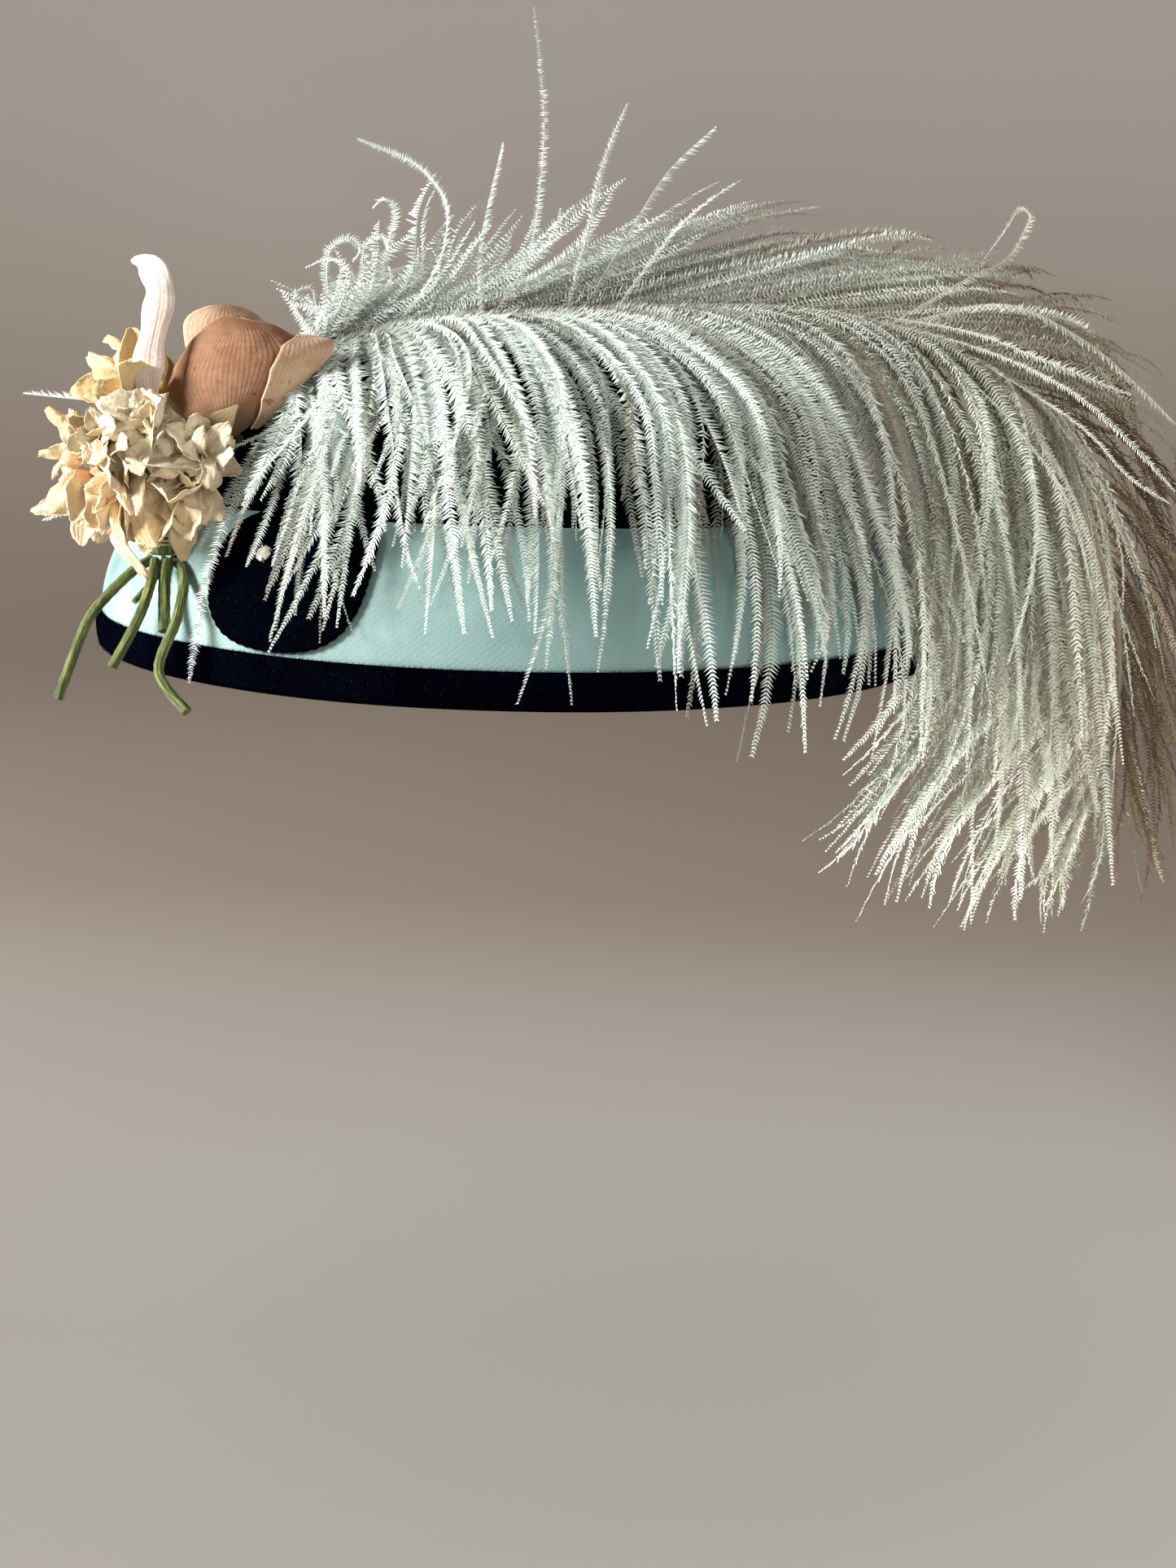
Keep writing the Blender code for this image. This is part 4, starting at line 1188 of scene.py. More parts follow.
HANGING_FLUES = 310
RISING_FLUES = 240
OUTER_FLUES = 130
INNER_FLUES = 140
FLUE_SECTIONS = 18
FLUE_RIB = 0.13 * MM
FLUE_CLEARANCE = 1.0 * MM
LOW_LAYER_CLEARANCE = 1.4
QUILL_LENGTH = 230
QUILL_SECTIONS = 60
BARB_SIDES = (0.0, 0.5, 0.8, 0.9, 1.0, 1.0)
LOOSE_BARBS = 2.4 * MM
LOOSE_RIB = 0.14 * MM
LOOSE_CLEARANCE = 2.2 * MM
LOOSE_SECTIONS = 28
LOOSE_TONE = 0.85

# The way that a flue's flat side turns to: shares of a point's x, y and height above FACING_FOOT
# below the origin, then mm more to the front
FACING_FOOT = 62 * MM
BODY_FACING = (1.0, 1.0, 0.9, 20)
FRONT_FACING = (0.4, 1.0, 0.7, 40)
RISING_FACING = (0.3, 0.0, 0.4, 70)

# How a set of flues grows. pull: how much the tips gather at the locks; early: how far before its
# lock a flue leaves the quill; crowded: above 1, more flues start near the quill's foot; shorter:
# the shortest flue's share of its route; hook: how far the tips bend aside; depth: how many mm
# the top layer stands off the hat; widest: the longest barbs; bright and shade: the tone of the
# lowest layer, which is painted darker than the top ones as shade, and how much painted shade
# darkens the far side
HANGING_LOOK = {
    "pull": 0.25,
    "early": 0.09,
    "crowded": 1.25,
    "shorter": 0.68,
    "hook": 8 * MM,
    "depth": 10.0,
    "widest": 3.5 * MM,
    "bright": 0.08,
    "shade": 0.4,
    "facing": FRONT_FACING,
}
RISING_LOOK = {
    **HANGING_LOOK,
    "crowded": 1.65,
    "shorter": 0.42,
    "hook": 4 * MM,
    "widest": 2.9 * MM,
    "bright": 0.48,
    "shade": 1.0,
    "facing": RISING_FACING,
}
OUTER_LOOK = {
    **HANGING_LOOK,
    "pull": 0.5,
    "early": 0.05,
    "crowded": 1.0,
    "hook": 5 * MM,
    "facing": BODY_FACING,
}
INNER_LOOK = {
    **HANGING_LOOK,
    "pull": 0.4,
    "early": 0.0,
    "crowded": 0.85,
    "hook": 4 * MM,
    "bright": 0.6,
}


def flue_route(quill, row, chance, layer, look):
    """One flue: runs on along the quill, arches over, hangs and ends near its lock's tip."""
    share, tip_x, tip_y, tip_z, lead, arch, fall = row
    start = max(share - look["early"] * chance.uniform(0.7, 1.3), 0.0)
    root = smooth_route(quill, start)
    tip = Vector((tip_x, tip_y, tip_z)) * MM
    along = route_direction(quill, max(start, 0.03))
    reach = (tip - root).length
    level = Vector((tip.x - root.x, tip.y - root.y, 0))
    arch += chance.uniform(-6, 2) + 4 * layer
    run_on = lead + QUILL_LENGTH * (share - start) * 0.8 + chance.uniform(-6, 8)
    leave = root + along * run_on * MM + level * chance.uniform(0.25, 0.42)
    leave += Vector((0, 0, arch * MM))
    arrive = tip - level * max(0.4 - 0.75 * fall, 0) + Vector((0, 0, fall * reach))
    arrive += along * 7 * MM + Vector([chance.gauss(0, 3.5 * MM) for _ in range(3)])
    swing = Vector([chance.gauss(0, spread) for spread in (4.2, 1.8, 1.8)]) * MM
    phase, waves = chance.uniform(0, math.tau), chance.uniform(0.5, 1.3)
    clearance = (LOW_LAYER_CLEARANCE + look["depth"] * layer) * MM
    path = []
    for section in range(FLUE_SECTIONS):
        t = section / (FLUE_SECTIONS - 1)
        point = arc_point(root, leave, arrive, tip, t)
        point += swing * math.sin(phase + math.tau * waves * t) * t * (1.2 - 0.4 * t)
        path.append(pushed_clear(point, clearance * min(4 * t, 1)) if section else point)
    for _ in range(2):
        for index in range(1, FLUE_SECTIONS - 1):
            path[index] = (path[index - 1] + path[index + 1]) / 4 + path[index] / 2
    return [pushed_clear(point, FLUE_CLEARANCE) for point in path]


def cut_path(path, share):
    """The path's first share of its length, in as many points."""
    last = len(path) - 1
    cut = []
    for index in range(len(path)):
        place = min(index / last * share * last, last - 0.0001)
        low = int(place)
        cut.append(path[low].lerp(path[low + 1], place - low))
    return cut


def hooked(path, chance, size):
    """The path's last half bent aside, each flue in its own way."""
    hook = Vector([chance.gauss(0, spread) for spread in (1, 0.35, 0.45)]) * size
    last = len(path) - 1
    bent = [point + hook * max(2 * index / last - 1, 0) ** 2 for index, point in enumerate(path)]
    return [pushed_clear(point, FLUE_CLEARANCE) for point in bent]


def faced(point, facing):
    across, depth, up, front = facing
    way = Vector((across * point.x, depth * point.y - front * MM, up * (point.z + FACING_FOOT)))
    return way.normalized()


def flue_rows(path, chance, tone, widest, thick, facing):
    """Adds to each point its barbs' side and lengths, twisting slowly along the flue."""
    twist = chance.gauss(0, 0.32)
    turn = chance.gauss(0, 0.42)
    other = chance.choice(BARB_SIDES)
    if other < 0.5:
        widest *= 1.3
    flip = chance.choice((-1, 1, 1))
    lean_mid = chance.uniform(0.35, 0.9)
    rows = []
    last = len(path) - 1
    for index, point in enumerate(path):
        t = index / last
        tangent = (path[min(index + 1, last)] - path[max(index - 1, 0)]).normalized()
        side = tangent.cross(faced(point, facing)).normalized()
        side = Matrix.Rotation(twist + turn * t, 3, tangent) @ side * flip
        growth = min(0.15 + t / 0.12, 1) * (1 - 0.7 * max((t - 0.76) / 0.24, 0) ** 1.8)
        lean = lean_mid + 0.6 * max((t - 0.8) / 0.2, 0) ** 1.3
        rows.append((point, side, widest * growth, other, lean, thick * (1 - 0.85 * t), tone, t))
    return rows


def grow_flues(quill, table, number, chance, look):
    """Flues with roots spread along the table's stretch of the quill, tips near its locks."""
    shares = [row[0] for row in table]
    low, high = shares[0], shares[-1]
    flues = []
    for step in range(number):
        share = low + (high - low) * ((step + chance.random()) / number) ** look["crowded"]
        nearest = min(shares, key=lambda value: abs(value - share))
        tip_share = share + (nearest - share) * look["pull"] * chance.uniform(0.2, 1.2)
        row = [share, *between(table, tip_share)]
        for column, spread in ((1, 7.0), (2, 4.0), (3, 5.0)):
            row[column] += chance.gauss(0, spread)
        layer = chance.random()
        route = flue_route(quill, row, chance, layer, look)
        shortest = look["shorter"] + 0.1 * share
        kept = shortest + (1 - shortest) * chance.random() ** 1.3
        if row[3] > PEAK_Z:
            kept *= PEAK_KEPT
        hook = look["hook"] * (2 if row[1] < CURLED_X and row[3] > 0 else 1)
        path = hooked(cut_path(route, kept), chance, hook)
        # Painted shade: lower layers and flues on the far side get a darker tone.
        far = min(max((row[1] * MM - SHADE_START) / SHADE_RUN, 0), 1)
        shade = look["shade"] * far * (1.6 - 1.2 * layer)
        tone = min(max(look["bright"] + layer - shade + chance.gauss(0, 0.17), 0), 1)
        longest = look["widest"] * chance.uniform(0.65, 1.2)
        flues.append(flue_rows(path, chance, tone, longest, FLUE_RIB, look["facing"]))
    return flues


def loose_flues(chance, widest):
    """Single flues that stand, curl or stray on their own, along their own points."""
    flues = []
    for rows in LOOSE_FLUES:
        path = [pushed_clear(point, LOOSE_CLEARANCE) for point in spread_points(rows, LOOSE_SECTIONS)]
        longest = widest * chance.uniform(0.8, 1.1)
        flues.append(flue_rows(path, chance, LOOSE_TONE, longest, LOOSE_RIB, FRONT_FACING))
    return flues


def make_plumes(feather, shaded_feather):
    """Both quills and their flues: rows of name, flues, barb spacing and width in mm, and seed."""
    chance = random.Random(101)
    hanging = grow_flues(FRONT_QUILL, FRONT_HANGING, HANGING_FLUES, chance, HANGING_LOOK)
    rising = grow_flues(FRONT_QUILL, FRONT_RISING, RISING_FLUES, chance, RISING_LOOK)
    loose = loose_flues(chance, LOOSE_BARBS)
    outer = grow_flues(BACK_QUILL, BACK_OUTER, OUTER_FLUES, chance, OUTER_LOOK)
    inner = grow_flues(BACK_QUILL, BACK_INNER, INNER_FLUES, chance, INNER_LOOK)
    third = len(hanging) // 3
    for name, flues, spacing, width, finish, node, seed in (
        ("front_hanging_flues_1", hanging[:third], 0.98, 0.64, feather, "plume_front", 1),
        ("front_hanging_flues_2", hanging[third:2 * third], 1.12, 0.66, feather, "plume_front", 2),
        ("front_hanging_flues_3", hanging[2 * third:], 1.15, 0.66, feather, "plume_front", 6),
        ("front_rising_flues", rising, 1.38, 0.6, feather, "plume_front", 3),
        ("front_loose_flues", loose, 0.75, 0.5, feather, "plume_front", 7),
        ("back_outer_flues", outer, 1.25, 0.7, shaded_feather, "plume_back", 4),
        ("back_inner_flues", inner, 1.22, 0.68, feather, "plume_back", 5),
    ):
        sizes = {"Spacing": spacing * MM, "Width": width * MM, "Rib_Step": 4 * MM, "Seed": seed}
        thing = grow_barbs(name, flues, finish, Scatter=0.5, Clumps=380.0, Droop=0.14, **sizes)
        settle(thing, "ostrich_feather", node)
    for name, quill, node in (
        ("front_quill", FRONT_QUILL, "plume_front"),
        ("back_quill", BACK_QUILL, "plume_back"),
    ):
        points = spread_points(quill, QUILL_SECTIONS)
        taper = (QUILL_TIP_RADIUS - QUILL_RADIUS) / (len(points) - 1)
        radii = [QUILL_RADIUS + taper * step for step in range(len(points))]
        shape, flat = new_shape()
        add_tube(shape, flat, tube_rings(points, radii, 12), around=0.01)
        shape_piece(name, shape, [feather], "ostrich_feather", node)


# Rose


def petal_point(rows, across, up):
    """On a petal's sheet: across from -1 to 1, up from 0 at its base to 1."""
    x, y, z, half_width, bend, rise = smooth_at(rows, min(max(up, 0), 1) * (len(rows) - 1))
    slope = rise / MM
    run = across * half_width / math.sqrt(1 + slope * slope)
    return Vector((x + run, y + bend * across * across, z + run * slope))


def sheet_out(place, across, up, step):
    """The way out of a sheet at this place, or to the front where it comes to a point."""
    sideways = place(across + step, up) - place(across - step, up)
    out = sideways.cross(place(across, up + step) - place(across, up - step))
    return out.normalized() if out.length > 1e-12 else Vector((0, -1, 0))


def cloth_sheet(name, place, cells, size, finish, slot, node, wrinkle, thickness):
    """A petal from place(across, up), wrinkled along its face, with a pale raw edge."""
    rows, edges, ups = [], [], []
    ranks, columns = cells
    for rank in range(ranks):
        up = rank / (ranks - 1)
        row = []
        for column in range(columns):
            across = 2 * column / (columns - 1) - 1
            point = place(across, up)
            out = sheet_out(place, across, up, 0.01)
            soft = noise.noise(point * 90) + 0.5 * noise.noise(point * 260)
            row.append(point + out * soft * wrinkle * MM * min(1.5 * up, 1))
            rim = max(abs(across), 2 * up - 1)
            edges.append(max(0.0, (rim - 0.9) / 0.1) ** 1.5)
            ups.append(up)
        rows.append(row)

    def flats(rank, column):
        return column / (columns - 1) * size[0] * MM, rank / (ranks - 1) * size[1] * MM

    mesh = grid_mesh(name, rows, flats, {"edge": edges, "along": ups})
    settle(solidify(link_piece(name, mesh, [finish]), thickness * MM), slot, node)


def rounded(place, start, power=2.4):
    """The same sheet with its top corners rounded off from a share of its height."""
    def shaped(across, up):
        over = min(max((up - start) / (1 - start), 0), 1)
        narrow = max(1 - over ** power, 0) ** (1 / power)
        return place(across * (0.08 + 0.92 * narrow), up)
    return shaped


def sheet_of(name):
    return lambda across, up: petal_point(PETALS[name], across, up)


def cup_outline(across, up):
    """The cup petal, narrower below and above its middle on the right, and above on the left."""
    if across > 0:
        narrow = 1 - 0.55 * abs(up - 0.62) ** 1.4
    else:
        narrow = 1 - 0.55 * max((up - 0.5) / 0.5, 0) ** 1.2
    return petal_point(PETALS["rose_petal_cup"], across * narrow, up)


def folded_edge(across, up):
    """The cup petal's edge folded over, a little in front of it."""
    cup = sheet_of("rose_petal_cup")
    low, high = FOLD_ROWS[0][0], FOLD_ROWS[-1][0]
    height = low + (high - low) * up
    left = between(FOLD_ROWS, height)[0]
    side = left + (FOLD_RIGHT_EDGE - left) * (across + 1) / 2
    return cup(side, height) + sheet_out(cup, side, height, 0.02) * FOLD_LIFT


def creased_curl(across, up):
    """Narrow at its foot, folded along its middle and waved along one edge."""
    wide = 0.62 + 0.3 * min(max((up - 0.3) / 0.3, 0), 1)
    crease = Vector((0, 0.8 * MM * (0.6 - abs(across - 0.25)), 0)) * min(3 * up, 1)
    wave = Vector((0.5 * MM * math.sin(26 * up) * across - 1.6 * MM * (1 - up), 0, 0))
    return petal_point(PETALS["rose_petal_curl"], across * wide, up) + crease + wave


def leaf_outline(across, up):
    return petal_point(PETALS["rose_leaf"], across * (1 - 0.6 * up * up), up)


def make_rose(satin_tan, satin_fold, satin_pale, cotton_tan, green):
    """The petals, leaf and base: name, sheet, cells, size in mm, finish, slot, node, wrinkle, wall."""
    back_left = rounded(sheet_of("rose_petal_back_left"), 0.6)
    back_right = rounded(sheet_of("rose_petal_back_right"), 0.7)
    cup = rounded(cup_outline, 0.84, 3.2)
    for row in (
        ("satin_cup_petal", cup, (60, 48), (44, 40), satin_tan,
         "rose_satin", "rose_petal_cup", 0.7, 0.8),
        ("satin_folded_edge", folded_edge, (40, 20), (16, 26), satin_fold,
         "pale_satin", "rose_petal_fold", 0.3, 0.7),
        ("satin_curled_petal", rounded(creased_curl, 0.8), (70, 20), (11, 60), satin_pale,
         "pale_satin", "rose_petal_curl", 0.6, 0.8),
        ("satin_back_petal_left", back_left, (30, 18), (12, 26), satin_fold,
         "pale_satin", "rose_petal_back_left", 0.6, 0.8),
        ("satin_back_petal_right", back_right, (36, 24), (24, 38), satin_fold,
         "pale_satin", "rose_petal_back_right", 0.8, 0.8),
        ("tan_leaf", leaf_outline, (20, 12), (8, 16), cotton_tan,
         "tan_cotton", "rose_leaf", 0.3, 0.7),
    ):
        cloth_sheet(*row)
    centre = Vector((*CALYX_CENTRE, CALYX_TOP_Z))
    grid = []
    for wide, down in CALYX_ROWS:
        ring = []
        for number in range(CALYX_STEPS):
            angle = math.tau * number / CALYX_STEPS
            out = wide * CALYX_RADIUS * (1 + 0.06 * math.cos(5 * angle))
            ring.append(centre + ring_point(out, angle, -down * CALYX_HEIGHT))
        grid.append(ring)

    def flats(rank, column):
        return column / CALYX_STEPS * 0.03, grid[rank][0].z

    mesh = tidy_mesh(grid_mesh("rose_base", grid, flats, closed_across=True))
    settle(link_piece("rose_base", mesh, [green]), "green_cotton", "rose_calyx")


# Blossoms

BLOSSOM_COLUMNS = 11
BLOSSOM_RANKS = 12
BLOSSOM_WALL = 0.28 * MM
BACK_PETALS = 6
HEART_PETALS = 3
PETAL_TONES = (0.1, 0.9)


def crumpled_petal(heart, row, chance):
    """One petal from the heart to its tip: bent, creased and ragged, as rows of (point, up, rim)."""
    spine = Vector(row[:3]) * MM - heart
    width = row[3] * MM
    along = spine.normalized()
    viewer = Vector((0, -1, 0.3))
    facing = (viewer - along * viewer.dot(along)).normalized()
    facing = Matrix.Rotation(chance.gauss(0, 0.45), 3, along) @ facing
    side = along.cross(facing)
    shift = Vector([chance.uniform(-9, 9) for _ in range(3)])
    bulge = chance.uniform(0.0, 0.22) * spine.length
    curl = chance.uniform(-0.12, 0.3) * spine.length
    fold = chance.choice((-0.6, -0.3, 0.3, 0.55, 0.8))
    slant = chance.uniform(-0.35, 0.35)
    rows = []
    for rank in range(BLOSSOM_RANKS):
        t = rank / (BLOSSOM_RANKS - 1)
        middle = heart + spine * t + facing * (bulge * 4 * t * (1 - t) + curl * t ** 3)
        spread = math.sin(math.pi * min(0.12 + 0.74 * t ** 0.85, 0.9)) ** 0.8
        line = []
        for column in range(BLOSSOM_COLUMNS):
            across = 2 * column / (BLOSSOM_COLUMNS - 1) - 1
            rim = max(abs(across), t)
            half = 0.5 * width * spread * (1 + 0.35 * noise.noise(Vector((shift.x, 4 * t, across))))
            crease = abs(across - slant * t)
            spot = middle + side * across * half + facing * fold * (crease - 0.5) * half
            notch = chance.uniform(-0.6, 0.4) * MM if rim > 0.99 and t > 0.3 else 0.0
            spot += along * (notch - 0.24 * width * across * across * t * t)
            spot += side * math.copysign(0.5 * notch, across)
            crumple = 1.5 * noise.noise(spot * 210 + shift) + 0.7 * noise.noise(spot * 520 + shift)
            line.append((spot + facing * crumple * MM * min(2 * t, 1), t, rim))
        rows.append(line)
    return rows


def blossom_petals(number, row, chance):
    """Tip, width and tone of each petal: the large front ones, a ring behind and some at the heart."""
    heart, way, length, half_angle = Vector(row[:3]), Vector(row[3:6]), row[6], math.radians(row[7])
    turn = way.normalized().to_track_quat("Z", "Y").to_matrix()
    petals = list(PETAL_TIPS[number])
    start = chance.uniform(0, math.tau)
    for step in range(BACK_PETALS):
        angle = start + math.tau * step / BACK_PETALS
        reach = length * chance.uniform(0.75, 0.95)
        tip = heart + turn @ ring_point(math.sin(half_angle), angle, math.cos(half_angle)) * reach
        petals.append((*tip, 0.5 * length + 1, chance.uniform(*PETAL_TONES)))
    for _ in range(HEART_PETALS):
        tip = heart + Vector((chance.gauss(0, 5), -7, chance.gauss(0, 5)))
        petals.append((*tip, 6.0, chance.uniform(*PETAL_TONES)))
    return petals


def make_blossom(number, row, chance, finish):
    """All petals of a blossom as one piece, each with its own place in the UV."""
    points, faces, corners = [], [], []
    marks = {"along": [], "edge": [], "tone": []}
    heart = Vector(row[:3]) * MM
    for petal, tip in enumerate(blossom_petals(number, row, chance)):
        base = len(points)
        for line in crumpled_petal(heart, tip, chance):
            for spot, up, rim in line:
                points.append(spot)
                marks["along"].append(up)
                marks["edge"].append(max(0.0, (rim - 0.86) / 0.14))
                marks["tone"].append(tip[4])
        for rank in range(BLOSSOM_RANKS - 1):
            for column in range(BLOSSOM_COLUMNS - 1):
                ring = ((rank, column), (rank, column + 1), (rank + 1, column + 1), (rank + 1, column))
                faces.append([base + r * BLOSSOM_COLUMNS + c for r, c in ring])
                for r, c in ring:
                    corners.append((c / BLOSSOM_COLUMNS * 0.010 + petal * 0.02, r / BLOSSOM_RANKS * 0.016))
    name = f"cotton_blossom_{number}"
    mesh = bpy.data.meshes.new(name)
    mesh.from_pydata(points, [], faces)
    layer = mesh.uv_layers.new(name="UVMap")
    for corner, spot in zip(layer.uv, corners):
        corner.vector = spot
    mark_points(mesh, marks)
    thing = solidify(link_piece(name, mesh, [finish]), BLOSSOM_WALL, even=False)
    settle(thing, "cream_cotton", f"blossom_{number}")


# Wires and stems


def tie_centre():
    """Where the bundle of wires lies against the brim's outer face."""
    return ring_point(hat_radius(TIE_FOOT_Z) + TIE_RADIUS + 2 * GAP, TIE_ANGLE)


def make_wires(green, thread):
    """The bundle with its wires to each flower and the thread wound round it."""
    shape, flat = new_shape()
    centre = tie_centre()
    up = Vector((0, 0, 1))
    ends = [
        (Vector((*CALYX_CENTRE, CALYX_TOP_Z - CALYX_HEIGHT - GAP)), up),
        (Vector(PETALS["rose_leaf"][0][:3]) * MM - up * 1.6 * GAP, up),
    ]
    for row in BLOSSOMS:
        way = Vector(row[3:6]).normalized()
        behind = 1.0 * MM / math.sin(math.radians(row[7])) + 2 * GAP
        ends.append((Vector(row[:3]) * MM - way * behind, way))
    for number, (end, way) in enumerate(ends):
        around = math.tau * number / len(ends)
        start = centre + ring_point(0.45 * TIE_RADIUS, around, TIE_TOP_Z - 3 * MM)
        first, second = start + up * WIRE_REACH, end - way * WIRE_REACH
        route = [arc_point(start, first, second, end, step / WIRE_STEPS) for step in range(WIRE_STEPS + 1)]
        add_tube(shape, flat, tube_rings(route, [WIRE_RADIUS * 0.85] * len(route), 10), around=0.006)
    fall = (TIE_FOOT_Z - TIE_TOP_Z) / TIE_STEPS
    body = [centre + up * (TIE_TOP_Z + fall * step) for step in range(TIE_STEPS + 1)]

    def bundle(index, angle):
        strands = 0.9 + 0.1 * math.cos(6 * angle + 0.08 * index)
        return TIE_RADIUS * strands * min(1, 0.75 + 0.12 * min(index, TIE_STEPS - index))

    add_tube(shape, flat, tube_rings(body, bundle, 36), around=0.028)
    wound = []
    steps = THREAD_TURNS * THREAD_STEPS
    for step in range(steps):
        share = step / (steps - 1)
        height = TIE_TOP_Z - 2.2 * MM - share * 7.5 * MM + 0.5 * MM * math.sin(2.1 * share * 9)
        wound.append(centre + ring_point(TIE_RADIUS + 0.05 * MM, math.tau * step / THREAD_STEPS, height))
    add_tube(shape, flat, tube_rings(wound, [THREAD_RADIUS] * steps, 6), 1, 0.003)
    shape_piece("bound_wires", shape, [green, thread], "green_cotton", "posy_wires")


def make_stem(number, row, green, dark):
    """A wire wrapped in cloth tape: its turns overlap in low ridges, and its end is cut."""
    radius, around = row[0] * MM, math.radians(row[1])
    top = tie_centre() + ring_point(STEM_CIRCLE, around, TIE_FOOT_Z - STEM_DROP * radius)
    points = (tuple(top / MM), *row[2:])
    length = run_lengths(points)[-1]
    route = spread_points(points, int(length / STEM_STEP))

    def wrapped(index, angle):
        place = (index * length / len(route) + TAPE_PITCH * angle / math.tau) / TAPE_PITCH * 2.3
        return radius * (0.93 + 0.09 * (place - math.floor(place)) ** 2)

    shape, flat = new_shape()
    rings = tube_rings(route, wrapped, 18)
    hollow = number == HOLLOW_STEM
    if hollow:
        way = (route[-1] - route[-2]).normalized()
        last = rings[-1]
        for inward, share in ((0.0, 0.62), (2.2 * MM, 0.55)):
            middle = route[-1] - way * inward
            rings.append([middle + (spot - route[-1]) * share for spot in last])
    add_tube(shape, flat, rings, around=0.01)
    if hollow:
        # The bore's floor takes the near-black finish: painted shade in the hole.
        for face in shape.faces:
            if face.calc_center_median().z < BORE_Z and len(face.verts) > 4:
                face.material_index = 1
    shape_piece(f"taped_stem_{number}", shape, [green, dark], "green_cotton", f"stem_{number}")


# Disc, stone and fuzz


def disc_point(across, down):
    """On the disc's sheet from -1 to 1 both ways: the angle and the place down the brim."""
    half = BRIM_LENGTH / 2
    place = 0.5 - 0.5 * down * (half - DISC_MARGIN) / half
    return DISC_ANGLE + across * DISC_HALF_WIDTH / brim_point(0, place, 0).x, place


def make_disc(finish):
    """Rings of a rounded square laid on the brim's curve; gives back its finely nibbled edge."""
    rows = []
    rim = []
    middle_lift = DISC_LIFT + DISC_THICKNESS / 2
    for ring in range(DISC_RINGS + 1):
        reach = ring / DISC_RINGS
        row = []
        for spoke in range(DISC_SPOKES):
            angle = math.tau * spoke / DISC_SPOKES
            wide = abs(math.cos(angle)) ** DISC_POWER + abs(math.sin(angle)) ** DISC_POWER
            nibble = 1 + 0.008 * math.sin(53 * angle) * reach ** 8
            spot = ring_point(reach / wide ** (1 / DISC_POWER) * nibble, angle)
            around, place = disc_point(spot.x, spot.y)
            soft = 0.25 * MM * noise.noise(8 * spot)
            row.append(brim_point(around, place, middle_lift + soft * reach))
            if ring == DISC_RINGS:
                rim.append(brim_point(around, place, middle_lift))
        rows.append(row)

    def flats(rank, column):
        spot = ring_point(rank / DISC_RINGS * DISC_HALF_WIDTH, math.tau * column / DISC_SPOKES)
        return spot.x, spot.y

    shape = bmesh.new()
    mesh = grid_mesh("disc", rows, flats, closed_across=True)
    shape.from_mesh(mesh)
    bmesh.ops.remove_doubles(shape, verts=shape.verts, dist=MERGE / 2)
    for face in shape.faces:
        face.normal_update()
    outward = brim_point(DISC_ANGLE, 0.5, 1.0) - brim_point(DISC_ANGLE, 0.5, 0)
    if sum((face.normal.dot(outward) for face in shape.faces)) < 0:
        bmesh.ops.reverse_faces(shape, faces=shape.faces)
    shape.to_mesh(mesh)
    shape.free()
    settle(solidify(link_piece("navy_disc", mesh, [finish]), DISC_THICKNESS), "navy_velvet", "velvet_disc")
    return rim


def make_stone(glass, brass):
    """A cut stone with a flat back, a table and two rows of facets, in four small claws."""
    seat = brim_point(STONE_ANGLE, STONE_DOWN, DISC_LIFT + DISC_THICKNESS + GAP)
    outward = (seat - brim_point(STONE_ANGLE, STONE_DOWN, 0)).normalized()
    turn = Matrix.Translation(seat) @ outward.to_track_quat("Z", "Y").to_matrix().to_4x4()
    shape, flat = new_shape()
    rings = []
    for height, width, shift in STONE_LEVELS:
        out = STONE_RADIUS * 0.92 * width
        angles = [math.tau * (number + 0.5 * shift) / STONE_SIDES for number in range(STONE_SIDES)]
        ring = [shape.verts.new(ring_point(out, angle, height * STONE_HEIGHT)) for angle in angles]
        rings.append((ring, shift))
    for (ring, shift), (above, above_shift) in zip(rings, rings[1:]):
        for number in range(STONE_SIDES):
            after = (number + 1) % STONE_SIDES
            if shift == above_shift:
                shape.faces.new((ring[number], ring[after], above[after], above[number]))
            elif above_shift:
                shape.faces.new((ring[number], ring[after], above[number]))
                shape.faces.new((ring[after], above[after], above[number]))
            else:
                shape.faces.new((ring[number], above[after], above[number]))
                shape.faces.new((ring[number], ring[after], above[after]))
    shape.faces.new(rings[0][0][::-1])
    shape.faces.new(rings[-1][0])
    for number in range(4):
        angle = math.tau * (number + 0.25) / 4
        points = [
            tuple(ring_point(STONE_RADIUS * wide, angle, high * STONE_HEIGHT) / MM)
            for wide, high in CLAW_ROWS
        ]
        route = spread_points(points, CLAW_STEPS)
        radii = [CLAW_RADIUS * (1 - 0.35 * step / (CLAW_STEPS - 1)) for step in range(CLAW_STEPS)]
        add_tube(shape, flat, tube_rings(route, radii, 8), 1)
    bmesh.ops.transform(shape, matrix=turn, verts=shape.verts)
    shape_piece("foiled_stone", shape, [glass, brass], "clear_stone", "rhinestone")


def edge_fuzz(name, points, ways, reach, finish, seed):
    """Short pile hairs along an edge, standing out along the ways given."""
    path = [(point, way, reach, 0.0, 0.0, HAIR_RIB, 0.5, 0.5) for point, way in zip(points, ways)]
    sizes = {"Spacing": HAIR_SPACING, "Width": HAIR_WIDTH, "Rib_Step": 4 * MM, "Seed": seed}
    thing = grow_barbs(name, [path], finish, Scatter=0.8, Clumps=900.0, Droop=0.0, **sizes)
    settle(thing, "navy_velvet")


